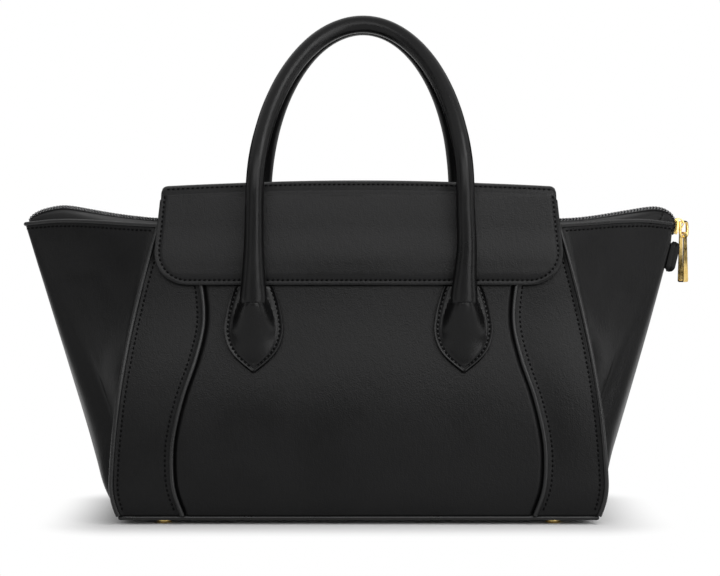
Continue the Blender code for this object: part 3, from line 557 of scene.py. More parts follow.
def wing_outline(z, side):
    """The front half of a wing seen from above, from the corner piping to the middle of its fold."""
    corner = Vector((corner_x(z), -face_y(z)))
    tip = tip_x(z, side)
    fold = between(FOLD_FOOT, FOLD_TOP, rise(z))
    bend = min(through(FOLD_HEIGHTS, FOLD_ROUNDS, z), fold * FOLD_MOST)
    spread = soft(tip - corner.x, 0.0, FLAT_FROM)
    knee = Vector((tip - bend * spread, -fold))
    sag = WING_SAG * math.sin(math.pi * min(rise(z) * SAG_STRETCH, 1.0)) * spread
    points = [corner]
    for share in (0.2, 0.4, 0.6, 0.8):
        point = corner.lerp(knee, share)
        point.y += sag * math.sin(math.pi * share)
        points.append(point)
    rounded = Vector((tip - bend * spread * HALF_ROUND, -fold + bend * HALF_ROUND))
    return points + [knee, rounded, Vector((tip, -fold + bend)), Vector((tip, 0.0))]


def wing_place(side):
    def place(u, v):
        front = u < 0.5
        share = 2 * u if front else 2 * (1 - u)
        edge = spline(wing_outline(BODY_TOP, side), share)
        top = top_edge_z(edge.x, side)
        if side > 0:
            top -= NOTCH_DEPTH * (1 - soft(abs(edge.y), *NOTCH_SIDE))
        z = between(PANEL_LOW, top, v)
        point = spline(wing_outline(z, side), share)
        point.y += CORNER_TUCK * (1 - soft(share, 0.0, CORNER_TUCK_RUN))
        y = point.y if front else -point.y
        wave = soft(share, *WAVE_IN) * (1 - soft(share, *WAVE_OUT))
        folds = (ripple((point.x * side, y * 0.6, z * 0.8), 24, FOLD_WAVE)
                 + ripple((point.x, y, z + side), 60, FINE_WAVE))
        x = point.x + folds * WAVE_ASIDE * wave
        y += math.copysign(folds * wave, y)
        spot = tucked(Vector((x, y, z)))
        return Vector((middle_x + side * spot.x, spot.y, spot.z))
    return place


for hand, side in HANDS:
    shape = wing_place(side)
    turned = shape if side > 0 else (lambda u, v, shape=shape: shape(1 - u, v))
    wing = leather_piece(f"wing_{hand}", 110, 56, turned, LEATHER, panel_leather, "panel_leather",
                         [f"gusset_{hand}"])
    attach(wing, "bag")

# Piping: cord covered in a thin strip of the same leather is caught in each corner seam, in the
# lap of each S seam and round the base, and stands out as a fine raised line.
PIPING_RADIUS = 0.0016
PIPING_OUT = 0.0009
LAP_CORD_RADIUS = 0.0015
LAP_CORD_ASIDE = 0.0004
LAP_CORD_SUNK = LAP_CORD_RADIUS - 0.0006
BASE_PIPING_Z = 0.0046
CORD_ROUNDNESS = 4
OUTLINE_STEPS = 24
EDGE_TONE = (0.0075, 0.0075, 0.0078)

edge_leather = leather("edge_calf", EDGE_TONE, 0.27, grain=0.10, shine=0.36)


def merge_points(piece, gap):
    """Points closer than the gap become one, and the faces are turned outwards."""
    select_only(piece)
    bpy.ops.object.mode_set(mode="EDIT")
    bpy.ops.mesh.select_all(action="SELECT")
    bpy.ops.mesh.remove_doubles(threshold=gap)
    bpy.ops.mesh.normals_make_consistent(inside=False)
    bpy.ops.object.mode_set(mode="OBJECT")


def rolled(name, path, radius, closed=False):
    """A round cord along a path, made as a curve with a round section and turned into a mesh."""
    select_only()
    bpy.ops.curve.primitive_nurbs_path_add()
    piece = bpy.context.object
    piece.name = name
    curve = piece.data
    curve.splines.clear()
    line = curve.splines.new("POLY")
    line.points.add(len(path) - 1)
    for spot, point in zip(line.points, path):
        spot.co = (*point, 1.0)
    line.use_cyclic_u = closed
    curve.dimensions = "3D"
    curve.bevel_depth = radius
    curve.bevel_resolution = CORD_ROUNDNESS
    curve.use_fill_caps = not closed
    bpy.ops.object.convert(target="MESH")
    piece = bpy.context.object
    piece.data.name = name
    merge_points(piece, 0.00001)
    smooth(piece)
    return piece


def heights(count, low=PANEL_LOW, high=BODY_TOP):
    return [between(low, high, i / count) for i in range(count + 1)]


for side, facing in SIDES:
    for hand, across in HANDS:
        for seam, radius in (("corner", PIPING_RADIUS), ("seam", LAP_CORD_RADIUS)):
            path = []
            for z in heights(70):
                if seam == "corner":
                    spot = tucked(Vector((corner_x(z), -face_y(z) - PIPING_OUT, z)))
                else:
                    spot = side_spot(seam_x(z) + LAP_CORD_ASIDE, z)
                    spot.y += LAP_CORD_SUNK
                path.append(on_side(spot, across, facing))
            piping = rolled(f"{side}_{seam}_cord_{hand}", path, radius)
            dress(piping, edge_leather, "edge_leather", f"{side}_{seam}_piping_{hand}")
            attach(piping, "bag")


def base_outline(inward, z=BASE_PIPING_Z):
    """The rounded oblong of the bag's base, seen from above, moved inwards."""
    ring = []
    steps = OUTLINE_STEPS
    for side, y_sign, backwards in ((1, 1, False), (1, -1, True), (-1, -1, False), (-1, 1, True)):
        half = [tucked(Vector((corner_x(z) * i / steps, -face_y(z), z))) for i in range(steps)]
        half += [tucked(Vector((*spline(wing_outline(z, side), i / steps), z))) for i in range(steps + 1)]
        half = [Vector((side * spot.x, y_sign * spot.y)) for spot in half]
        ring += half[:0:-1] if backwards else half[:-1]
    moved = []
    for i, spot in enumerate(ring):
        run = ring[(i + 1) % len(ring)] - ring[i - 1]
        moved.append(spot + Vector((-run.y, run.x)).normalized() * inward)
    return moved


base_line = [Vector((middle_x + p.x, p.y, BASE_PIPING_Z)) for p in base_outline(PIPING_RADIUS)]
base_piping = rolled("base_cord", base_line, PIPING_RADIUS, closed=True)
dress(base_piping, edge_leather, "edge_leather", "base_piping")
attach(base_piping, "bag")

# Base: a leather panel over a stiff board, with four domed metal feet riveted through both.
# The board keeps the bag's floor flat, and the feet hold the leather off the table.
BASE_UNDER = 0.003
BASE_LIFT = 0.0002
BASE_INSET = 0.0026
BOARD_THICKNESS = 0.0025
BOARD_GAP = 0.0006
BOARD_INSET = 0.0052
FOOT_RADIUS = 0.005
FOOT_HEIGHT = 0.0032
FOOT_ROUND = 0.0011
FOOT_SPACING = (0.1275, 0.047)


def floor_plate(name, outline, low, thickness):
    select_only()
    bpy.ops.mesh.primitive_circle_add(vertices=len(outline), fill_type="TRIFAN", location=(0, 0, 0))
    piece = bpy.context.object
    piece.name = piece.data.name = name
    rim = [vert for vert in piece.data.vertices if vert.co.length > 0.5]
    for vert, spot in zip(rim, outline):
        vert.co = (middle_x + spot.x, spot.y, low)
    hub = next(vert for vert in piece.data.vertices if vert not in rim)
    hub.co = (middle_x, 0, low)
    bpy.ops.object.mode_set(mode="EDIT")
    bpy.ops.mesh.select_all(action="SELECT")
    bpy.ops.mesh.extrude_region_move(TRANSFORM_OT_translate={"value": (0, 0, thickness)})
    bpy.ops.mesh.select_all(action="SELECT")
    bpy.ops.mesh.normals_make_consistent(inside=False)
    bpy.ops.object.mode_set(mode="OBJECT")
    round_edges(piece, 0.0005, 2, 60)
    smooth(piece, 30)
    return piece


base_leather = floor_plate("base_leather", base_outline(BASE_INSET), BASE_UNDER + BASE_LIFT, LEATHER)
dress(base_leather, panel_leather, "panel_leather", "base_panel")
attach(base_leather, "bag")

board_look, card = start_material("pressed_board", {"Roughness": 0.9, "Specular IOR Level": 0.2})
fibre = card.cloud(card.place(), 900.0, 4.0)
card_tone = fibre.ramp(0.3, 0.7).mix((0.09, 0.075, 0.058), (0.15, 0.125, 0.10))
finish_material(board_look, {"Base Color": card_tone, "Normal": fibre.bump(0.3, 0.0002)})
board = floor_plate("base_stiffener", base_outline(BOARD_INSET), BASE_UNDER + LEATHER + BOARD_GAP,
                    BOARD_THICKNESS - BOARD_GAP)
dress(board, board_look, "board", "base_board")
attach(board, "bag")

gold_look, metal = start_material("polished_gold", {"Metallic": 1.0, "Specular IOR Level": 0.5})
metal_place = metal.place()
haze = metal.cloud(metal_place, 260.0, 3.0)
drawn_out = metal.node("ShaderNodeMapping", {"Vector": metal_place, "Scale": (1.0, 1.0, 0.06)})
brushed = metal.cloud(drawn_out, 2400.0)
gold_tone = haze.ramp(0.3, 0.7).mix((0.72, 0.50, 0.16), (0.82, 0.61, 0.24))
finish_material(gold_look, {"Base Color": gold_tone, "Roughness": haze.ramp(0.3, 0.7, 0.17, 0.25),
                            "Normal": brushed.bump(0.015, 0.0001)})

for side, facing in SIDES:
    for hand, across in HANDS:
        select_only()
        place = (middle_x + across * FOOT_SPACING[0], -facing * FOOT_SPACING[1], FOOT_HEIGHT / 2)
        bpy.ops.mesh.primitive_cylinder_add(vertices=32, radius=FOOT_RADIUS, depth=FOOT_HEIGHT, location=place)
        stud = bpy.context.object
        stud.name = stud.data.name = f"stud_{side}_{hand}"
        bpy.ops.object.transform_apply(location=True)
        round_edges(stud, FOOT_ROUND, 4, 60)
        smooth(stud, 35)
        dress(stud, gold_look, "gold", f"foot_{side}_{hand}")
        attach(stud, "bag")

# Binding: a narrow strip of leather is folded over the raw top edge of the faces and wings. It
# runs round the left tip in one piece, and on the right it ends at the notch for the zip.
BINDING_RADIUS = 0.0014
BINDING_RAISE = 0.0003
RIGHT_RUN_END = 0.72


def top_run(side, end_share, steps=60):
    """The front top edge of one wing, from the corner to near or round its tip."""
    run = []
    for i in range(steps + 1):
        spot = spline(wing_outline(BODY_TOP, side), end_share * i / steps)
        run.append(Vector((middle_x + side * spot.x, spot.y, top_edge_z(spot.x, side) + BINDING_RAISE)))
    return run


across_top = [Vector((middle_x + between(-1, 1, i / 40) * corner_x(BODY_TOP), -face_y(BODY_TOP),
                      BODY_TOP + BINDING_RAISE)) for i in range(1, 40)]
front_edge = top_run(-1, 1.0)[::-1] + across_top + top_run(1, RIGHT_RUN_END)
for side, facing in SIDES:
    path = [Vector((spot.x, facing * spot.y, spot.z)) for spot in front_edge]
    binding = rolled(f"{side}_edge_binding", path, BINDING_RADIUS)
    dress(binding, edge_leather, "edge_leather", f"{side}_top_binding")
    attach(binding, "bag")

# Zip: a black coil zip rises from inside the left tip, runs along the top under the flap, and
# turns down over the right wing, where its slider rests. The coils are sewn to a woven tape, and
# a soft leather collar joins the tape to the bag's top edge.
ZIP_LINE = (
    (-0.2238, 0.1962), (-0.2238, 0.1985), (-0.2226, 0.2008), (-0.2190, 0.2036), (-0.2128, 0.2062),
    (-0.2026, 0.2082), (-0.1941, 0.2079), (-0.1819, 0.2058), (-0.1663, 0.2031), (-0.1500, 0.2010),
    (-0.1340, 0.1997), (-0.1000, 0.1993), (-0.0500, 0.1993), (0.0, 0.1993), (0.0500, 0.1993),
    (0.1000, 0.1993), (0.1375, 0.1995), (0.1573, 0.2011), (0.1786, 0.2045), (0.1938, 0.2070),
    (0.2013, 0.2075), (0.2074, 0.2062), (0.2118, 0.2034), (0.2143, 0.1998), (0.2154, 0.1953),
    (0.2149, 0.1916), (0.2134, 0.1881),
)
ZIP_STEPS = 520
TOOTH_PITCH = 0.0022
TOOTH_REACH = 0.0012
TOOTH_SLANT = 0.25
CHAIN_DROP = 0.0008
TAPE_DROP = 0.0015
TAPE_SLOPE = 0.0004
TAPE_HALF = 0.0053
TAPE_CLOTH = 0.0005
SLIT_HALF = 0.0002


def measured(points):
    """Distances along a run of points."""
    runs = [0.0]
    for a, b in zip(points, points[1:]):
        runs.append(runs[-1] + (b - a).length)
    return runs


def walked(points, runs, distance):
    """The point at one distance along a run, and the direction there."""
    distance = min(max(distance, 0.0), runs[-1])
    i = max(k for k in range(len(runs) - 1) if runs[k] <= distance)
    share = (distance - runs[i]) / max(runs[i + 1] - runs[i], 1e-9)
    return points[i].lerp(points[i + 1], share), (points[i + 1] - points[i]).normalized()


zip_knots = [Vector((x, 0.0, z)) for x, z in ZIP_LINE]
zip_path = [spline(zip_knots, i / ZIP_STEPS) for i in range(ZIP_STEPS + 1)]
zip_runs = measured(zip_path)


def off_zip(along):
    """Away from the bag, square to the zip's run."""
    return Vector((-along.z, 0, along.x))


def cloth_piece(name, columns, rows, place, wall, material, slot, node):
    """A cut piece of cloth with its wall turned inwards."""
    piece = grid_piece(name, columns, rows, place)
    apply_modifier(piece, "SOLIDIFY", thickness=wall, offset=-1.0)
    smooth(piece)
    return dress(piece, material, slot, node)


tape_look, weave = start_material("zip_tape", {"Roughness": 0.85, "Specular IOR Level": 0.2,
                                               "Sheen Weight": 0.15})
yarn = {"Vector": weave.place(), "Scale": 420.0, "Distortion": 0.4}
warp, weft = (weave.node("ShaderNodeTexWave", yarn, bands_direction=way) for way in ("X", "Y"))
threads = warp.top(weft)
tape_tone = threads.mix((0.006, 0.006, 0.0065), (0.016, 0.016, 0.017))
finish_material(tape_look, {"Base Color": tape_tone, "Normal": threads.bump(0.5, 0.0002)})

for side, facing in SIDES:
    def tape_place(u, v, facing=facing):
        run = (u if facing > 0 else 1 - u) * zip_runs[-1]
        spot, along = walked(zip_path, zip_runs, run)
        spot = spot - off_zip(along) * (TAPE_DROP + TAPE_SLOPE * (1 - v))
        return Vector((middle_x + spot.x, -facing * between(TAPE_HALF, SLIT_HALF, v), spot.z))
    tape = cloth_piece(f"tape_{side}", 260, 4, tape_place, TAPE_CLOTH, tape_look, "tape", f"zip_tape_{side}")
    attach(tape, "bag")

coil_look, nylon = start_material("black_nylon", {"Specular IOR Level": 0.35})
nylon_place = nylon.place()
grime = nylon.cloud(nylon_place, 300.0)
# The coil's outer turn ends are painted far paler than the black nylon. This is a painted glint on the tips,
# not wear.
tip_glint_mask = nylon.node("ShaderNodeSeparateXYZ", {"Vector": nylon_place}, output="Y").size().ramp(0.0019, 0.0025)
dull_coil = grime.mix((0.008, 0.008, 0.0085), (0.016, 0.016, 0.0165))
coil_tip_glint = grime.mix((0.24, 0.24, 0.245), (0.44, 0.44, 0.45))
finish_material(coil_look, {"Base Color": tip_glint_mask.mix(dull_coil, coil_tip_glint),
                            "Roughness": grime.ramp(0.3, 0.7, 0.20, 0.32)})


def one_bead(length, width, height, segments=8, rings=5):
    """A rounded bead, long along X, as point and face lists for copying."""
    select_only()
    bpy.ops.mesh.primitive_uv_sphere_add(segments=segments, ring_count=rings, radius=1.0,
                                         rotation=(0, math.pi / 2, 0))
    bead = bpy.context.object
    bead.data.transform(Matrix.Rotation(math.pi / 2, 4, "Y"))
    bead.data.transform(Matrix.Diagonal((length / 2, width / 2, height / 2, 1.0)))
    points = [vert.co.copy() for vert in bead.data.vertices]
    faces = [tuple(face.vertices) for face in bead.data.polygons]
    bpy.data.objects.remove(bead, do_unlink=True)
    return points, faces


def copies(name, bead, places):
    """One piece of many copies of a bead, each set by a matrix."""
    points, faces = bead
    all_points = []
    all_faces = []
    for place in places:
        start = len(all_points)
        all_points += [place @ point for point in points]
        all_faces += [tuple(start + i for i in face) for face in faces]
    mesh = bpy.data.meshes.new(name)
    mesh.from_pydata(all_points, [], all_faces)
    piece = bpy.data.objects.new(name, mesh)
    bpy.context.scene.collection.objects.link(piece)
    build = bmesh.new()
    build.from_mesh(mesh)
    bmesh.ops.recalc_face_normals(build, faces=build.faces)
    build.to_mesh(mesh)
    build.free()
    mesh.shade_smooth()
    return piece


def frame_matrix(place, along, out):
    """Turns a bead's X along the seam and its Z outwards."""
    along = along.normalized()
    side = out.cross(along).normalized()
    up = along.cross(side)
    return Matrix.Translation(place) @ Matrix((along, side, up)).transposed().to_4x4()


tooth = one_bead(length=0.0026, width=0.0014, height=0.0021)
for side, facing in SIDES:
    places = []
    shift = 0.25 if facing > 0 else 0.75
    for i in range(int(zip_runs[-1] / TOOTH_PITCH)):
        spot, along = walked(zip_path, zip_runs, (i + shift) * TOOTH_PITCH)
        out = off_zip(along)
        place = spot - out * CHAIN_DROP + Vector((middle_x, -facing * TOOTH_REACH, 0))
        places.append(frame_matrix(place, Vector((0.0, facing, 0.0)) + along * TOOTH_SLANT, out))
    teeth = copies(f"teeth_{side}", tooth, places)
    dress(teeth, coil_look, "coil", f"zip_coil_{side}")
    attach(teeth, "bag")

COLLAR_RUN = (0.004, 0.984)
COLLAR_WALL = 0.0009
COLLAR_CLEAR = 0.0012
COLLAR_INSIDE = 0.0022
COLLAR_FOOT_DROP = 0.003
COLLAR_EDGE_DROP = 0.0007
COLLAR_OVER_TAPE = 0.0008
COLLAR_PUFF = 0.0016
COLLAR_PUFF_RUN = (0.10, 0.16)
COLLAR_PUFF_UP = 1.5
COLLAR_PUFF_OUT = 0.6
COLLAR_ARCH = 0.10
COLLAR_STEP = 0.0009
COLLAR_STEP_RUN = 0.0008
COLLAR_STEP_FADE = 0.4
COLLAR_SEAM_X = 0.2048
COLLAR_SEAM_Z = 0.2015
COLLAR_SEAM_LEAN = 0.5
COLLAR_SHADE_HALF = 0.0009
COLLAR_TONE = (0.0065, 0.0065, 0.0068)
collar_leather = leather("collar_calf", COLLAR_TONE, 0.46)


def top_line(x):
    """Where the top edge of the front runs, for one place along the bag."""
    side = 1 if x > 0 else -1
    if abs(x) <= corner_x(BODY_TOP):
        return Vector((x, -face_y(BODY_TOP), BODY_TOP))
    low, high = 0.0, 1.0
    outline = wing_outline(BODY_TOP, side)
    for _ in range(24):
        half = (low + high) / 2
        if spline(outline, half).x < abs(x):
            low = half
        else:
            high = half
    spot = spline(outline, low)
    return Vector((side * spot.x, spot.y, top_edge_z(spot.x, side)))


for side, facing in SIDES:
    def collar_place(u, v, facing=facing):
        share = u if facing > 0 else 1 - u
        crest, along = walked(zip_path, zip_runs, between(*COLLAR_RUN, share) * zip_runs[-1])
        limit = tip_x(BODY_TOP, 1 if crest.x > 0 else -1) - COLLAR_CLEAR
        foot = top_line(min(max(crest.x, -limit), limit))
        foot.y = min(foot.y + COLLAR_INSIDE, -TAPE_HALF - SLIT_HALF)
        foot.z -= COLLAR_FOOT_DROP
        edge = crest - off_zip(along) * (TAPE_DROP + COLLAR_EDGE_DROP)
        edge.y = -TAPE_HALF + COLLAR_OVER_TAPE
        hump = math.sin(math.pi * v)
        puff = COLLAR_PUFF * hump * soft(abs(crest.x), *COLLAR_PUFF_RUN)
        step = COLLAR_STEP * soft(crest.x, COLLAR_SEAM_X, COLLAR_SEAM_X + COLLAR_STEP_RUN)
        spot = foot.lerp(edge, v)
        spot.z += puff * (1 - v) * COLLAR_PUFF_UP + (edge.z - foot.z) * COLLAR_ARCH * hump
        spot.y -= puff * COLLAR_PUFF_OUT + step * hump ** COLLAR_STEP_FADE
        return Vector((middle_x + spot.x, facing * spot.y, spot.z))
    collar = leather_piece(f"collar_{side}", 440, 12, collar_place, COLLAR_WALL, collar_leather,
                           "edge_leather", [f"zip_collar_{side}"])
    # Points on a line across the collar, where its overlapping leather ends, are marked as cut edge and take
    # the dark edge colour. This is a painted shade line for the gap at that step.
    for vert in collar.data.vertices:
        seam = middle_x + COLLAR_SEAM_X + (vert.co.z - COLLAR_SEAM_Z) * COLLAR_SEAM_LEAN
        if abs(vert.co.x - seam) < COLLAR_SHADE_HALF:
            collar.data.attributes["border"].data[vert.index].value = 1.0
    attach(collar, "bag")

# End of the zip: a rounded tab of two thick layers of leather is sewn together over the tape's
# raw end, and hangs against the wing's edge. Its own edges are painted.
END_TAB_TOP = Vector((0.2147, 0, 0.1837))
END_TAB_LOW = Vector((0.2099, 0, 0.1633))
END_TAB_WIDTH = 0.0135
END_TAB_STRAIGHT = 0.60
END_TAB_TUCK = 0.0030
END_TAB_CROWN = 0.0005
END_TAB_EDGE = 0.0012
END_ROUND_FROM = 0.62
END_ROUND_PAST = 1.02
END_ROUND_SPAN = 0.17
END_ROUND_LEAST = 0.02
END_LAYER = 0.0030
LAYER_GAP = 0.0001
end_run = END_TAB_LOW - END_TAB_TOP
end_out = Vector((-end_run.z, 0, end_run.x)).normalized()


def end_tab_place(u, v, lift):
    """Across and up one layer: its ends are rounded, and tuck in towards the wing."""
    across = between(-1, 1, u)
    off_middle = abs(2 * v - 1)
    rounding = max(off_middle * END_ROUND_PAST - END_ROUND_FROM, 0) ** 2 / END_ROUND_SPAN
    squeeze = math.sqrt(max(1 - rounding, END_ROUND_LEAST))
    past = max(off_middle - END_TAB_STRAIGHT, 0.0) / (1 - END_TAB_STRAIGHT)
    tuck = (END_TAB_TUCK if lift else END_TAB_TUCK / 3) * (1 - math.sqrt(max(1 - past ** 2, 0.0)))
    out = lift + END_TAB_CROWN * (1 - across ** 2) - tuck
    spot = END_TAB_LOW - end_run * v + end_out * out
    return Vector((middle_x + spot.x, across * END_TAB_WIDTH / 2 * squeeze, spot.z))


for layer, lift in (("inner", 0.0), ("outer", END_LAYER + LAYER_GAP)):
    end_tab = leather_piece(f"end_tab_{layer}", 20, 30, lambda u, v, lift=lift: end_tab_place(u, v, lift),
                            END_LAYER, edge_leather, "edge_leather", ["zip_end_tab"], edge=END_TAB_EDGE)
    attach(end_tab, "bag")

# Slider, ring and pull: cast metal, plated a polished gold. The slider clasps both coils at the
# right tip, a wire ring hangs in its bridge, and a long hollow frame hangs on the ring.
SLIDER_EDGE = 0.00030
RING_FATTER = 0.00038
RING_WIDER = 0.0012
RING_TALLER = 0.0013
PULL_BAR = Vector((0.22222, 0.0026, 0.18689))
PULL_ANGLE = math.radians(50)
PULL_TOP = 0.0034
PULL_LOW = -0.0307
PULL_NARROWS = (0.80, 0.84)
PULL_THINS = (0.82, 1.0)
PULL_SHIFT = 0.0002
PULL_EDGE = 0.00025


def metal_copy(name, node, body, degrees, rounding=0.0):
    """A smoother copy of a CAD metal part: its edges are rounded and its facets shaded soft."""
    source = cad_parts[node]
    piece = bpy.data.objects.new(name, source.data.copy())
    bpy.context.scene.collection.objects.link(piece)
    piece.data.name = name
    select_only(piece)
    bpy.ops.object.mode_set(mode="EDIT")
    bpy.ops.mesh.select_all(action="SELECT")
    bpy.ops.mesh.remove_doubles(threshold=0.00002)
    bpy.ops.mesh.dissolve_limited(angle_limit=math.radians(2))
    bpy.ops.object.mode_set(mode="OBJECT")
    if rounding:
        round_edges(piece, rounding, 3, 38)
    smooth(piece, degrees)
    dress(piece, gold_look, "gold", node)
    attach(piece, body)
    return piece


def extent(piece, axis):
    """The lowest and highest place of a piece along one axis."""
    places = [vert.co[axis] for vert in piece.data.vertices]
    return min(places), max(places)


metal_copy("slider", "zip_slider", "zip_slider", 50, SLIDER_EDGE)
ring = metal_copy("ring", "zip_ring", "zip_ring", 80)
apply_modifier(ring, "SUBSURF", levels=2)
select_only(ring)
bpy.ops.object.mode_set(mode="EDIT")
bpy.ops.mesh.select_all(action="SELECT")
bpy.ops.transform.shrink_fatten(value=RING_FATTER)
bpy.ops.object.mode_set(mode="OBJECT")
near_x, far_x = extent(ring, 0)
low_z, high_z = extent(ring, 2)
for vert in ring.data.vertices:
    vert.co.x += RING_WIDER * (vert.co.x - near_x) / (far_x - near_x)
    vert.co.z += RING_TALLER * (vert.co.z - low_z) / (high_z - low_z)
smooth(ring, 80)

pull = metal_copy("pull", "zip_pull", "zip_pull", 40)
pull_along = Vector((math.sin(PULL_ANGLE), math.cos(PULL_ANGLE), 0))
pull_out = Vector((math.cos(PULL_ANGLE), -math.sin(PULL_ANGLE), 0))
low_z, high_z = extent(pull, 2)
for vert in pull.data.vertices:
    reach = vert.co - PULL_BAR
    fall = (high_z - vert.co.z) / (high_z - low_z)
    out = reach.dot(pull_out) * between(*PULL_NARROWS, fall) + PULL_SHIFT
    along = reach.dot(pull_along) * between(*PULL_THINS, fall)
    vert.co = PULL_BAR + pull_out * out + pull_along * along + Vector((0, 0, between(PULL_TOP, PULL_LOW, fall)))
round_edges(pull, PULL_EDGE, 3, 38)
smooth(pull, 40)

# Flap: one large piece of leather, sewn to the bag's back and brought over the top to the front.
# A thin lining is glued under it, its edge is painted and its whole rim is sewn with one line.
FLAP_LEATHER = 0.0024
FLAP_EDGE = 0.0008
FLAP_TOP = 0.2205
FLAP_BOTTOM = 0.1558
FLAP_TOP_HALF = 0.130
FLAP_LOW_HALF = 0.136
FLAP_CORNER = 0.024
FLAP_TOP_CORNER = 0.004
FLAP_CROWN = 0.0036
FLAP_CROWN_FROM = FLAP_BOTTOM + 0.02
FLAP_STANDOFF = 0.0019
FLAP_STACK = 0.0027
FLAP_SWELL = 0.0012
FLAP_SWELL_HALF = 0.135
FLAP_SWELL_LOW = 1.3
FLAP_UNEVEN = 0.0005
FLAP_CALM = (0.11, 0.134)
FLAP_HANG = 0.0011
FLAP_HANG_RUN = (0.170, 0.195)
FLAP_CURL = 0.0013
FLAP_CURL_RUN = (FLAP_BOTTOM, FLAP_BOTTOM + 0.009)
FLAP_SEWN_AT = 0.0031
FLAP_PRESS = 0.0007
SEAM_SOFT = 0.0011
STRIP_BOTTOM = 0.168
STRIP_STACK = 0.0018
FRONT_FOLD = 0.0062
FOLD_START = FLAP_TOP - FRONT_FOLD
BACK_FOLD = 0.0060
BACK_SAG = 0.0012
BACK_SAG_FROM = 0.036
BACK_SAG_LENGTH = 0.066
BACK_SAG_HALF = 0.14
BACK_FLAT = 0.004
BACK_CROWN_FROM = STRIP_BOTTOM + 0.03
BACK_LEATHER = 0.0020
SPLIT_Y = -0.030
SPLIT_NEAR = 0.001
FLAP_TONE = (0.0070, 0.0070, 0.0073)
flap_leather = leather("flap_calf", FLAP_TONE, 0.36, grain=0.32, shine=0.165)


def flap_front_y(z):
    return face_y(z) + FLAP_STANDOFF + FLAP_STACK


def flap_back_y(z):
    return face_y(z) + FLAP_STANDOFF + STRIP_STACK


def flap_crown(x):
    """How much higher the top stands in the middle than at its sides."""
    share = min(abs(x) / FLAP_TOP_HALF, 1.0)
    past = max(abs(x) - (FLAP_TOP_HALF - FLAP_TOP_CORNER), 0.0)
    drop = FLAP_TOP_CORNER - math.sqrt(max(FLAP_TOP_CORNER ** 2 - past ** 2, 0.0))
    return FLAP_CROWN * (1 - share ** 2) - drop * 0.8


def pressed(inside, line, depth):
    """The leather is drawn in along its sewing, which leaves its edge standing as a bead."""
    return depth * math.exp(-((inside - line) / SEAM_SOFT) ** 2)


def flap_side(z):
    """Half the flap's width, but for its rounded lower corners."""
    return between(FLAP_LOW_HALF, FLAP_TOP_HALF, (z - FLAP_BOTTOM) / (FLAP_TOP - FLAP_BOTTOM))


def flap_inside(x, z):
    """How far a point of the flap is inside its rim."""
    aside = flap_side(z) - abs(x)
    above = z - FLAP_BOTTOM
    if aside < FLAP_CORNER and above < FLAP_CORNER:
        return FLAP_CORNER - math.hypot(FLAP_CORNER - aside, FLAP_CORNER - above)
    return min(aside, above)


def flap_half(z, inset=0.0):
    """Half the flap's width at its rim, or on a line so far inside it."""
    straight = flap_side(z) - inset
    corner = FLAP_CORNER - inset
    rest = FLAP_BOTTOM + FLAP_CORNER - z
    if rest <= 0:
        return straight
    return straight - corner + math.sqrt(max(corner ** 2 - rest ** 2, 0.0))


def fold_run(low_z, high_z, front_y, radius, count, flat):
    """Levels from low on a face, round a fold and along the flat top: points of y outwards and z."""
    top_y = front_y(high_z)
    run = [(front_y(z), z) for z in (between(low_z, high_z - radius, i / count) for i in range(count + 1))]
    for degrees in (15, 30, 45, 60, 75, 90):
        turn = math.radians(degrees)
        run.append((top_y - radius * (1 - math.cos(turn)), high_z - radius + radius * math.sin(turn)))
    return [Vector(spot) for spot in run + [(y, high_z) for y in flat]]


front_levels = fold_run(FLAP_BOTTOM, FLAP_TOP, flap_front_y, FRONT_FOLD, 34, (0.0365, 0.0330, -SPLIT_Y))
front_runs = measured(front_levels)


def flap_front_place(u, v, under=0.0, hem=0.0):
    run = between(hem, front_runs[-1], clustered(v, 0.3)) if hem else front_runs[-1] * v
    (y, z), _ = walked(front_levels, front_runs, run)
    half = (flap_half(z) if z < FOLD_START else FLAP_TOP_HALF) - hem
    x = between(-half, half, clustered(u, 0.55))
    z += flap_crown(x) * soft(z, FLAP_CROWN_FROM, FLAP_TOP)
    if z >= FOLD_START:
        return Vector((middle_x + x, under - y, z - under))
    swell = FLAP_SWELL * math.sin(math.pi * min(v * FLAP_SWELL_LOW, 1.0)) * (1 - (x / FLAP_SWELL_HALF) ** 2)
    swell += ripple((x, 1.7, z), 20, FLAP_UNEVEN) * (1 - soft(abs(x), *FLAP_CALM))
    hang = FLAP_HANG * (1 - soft(z, *FLAP_HANG_RUN)) - FLAP_CURL * (1 - soft(z, *FLAP_CURL_RUN)) ** 1.5
    hang -= 0.0 if under else pressed(flap_inside(x, z), FLAP_SEWN_AT, FLAP_PRESS)
    return Vector((middle_x + x, under - y - swell - hang, z))


flap_front = leather_piece("flap_front_leather", 150, 120, flap_front_place, FLAP_LEATHER, flap_leather,
                           "flap_leather", ["flap_front"], edge=FLAP_EDGE,
                           skip=lambda spot: spot.y > SPLIT_Y - SPLIT_NEAR)
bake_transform(flap_front)

back_levels = fold_run(STRIP_BOTTOM, FLAP_TOP, flap_back_y, BACK_FOLD, 16,
                       (0.030, 0.020, 0.010, 0.0, -0.010, -0.020, SPLIT_Y))
back_runs = measured(back_levels)


def flap_back_place(u, v):
    (y, z), _ = walked(back_levels, back_runs, back_runs[-1] * v)
    x = between(FLAP_TOP_HALF, -FLAP_TOP_HALF, clustered(u, 0.55))
    z += flap_crown(x) * soft(z, BACK_CROWN_FROM, FLAP_TOP)
    if z > FLAP_TOP - BACK_FLAT:
        sag = BACK_SAG * math.sin(math.pi * min(max((BACK_SAG_FROM - y) / BACK_SAG_LENGTH, 0.0), 1.0))
        z += sag * (1 - (x / BACK_SAG_HALF) ** 2)
    return Vector((middle_x + x, y, z))


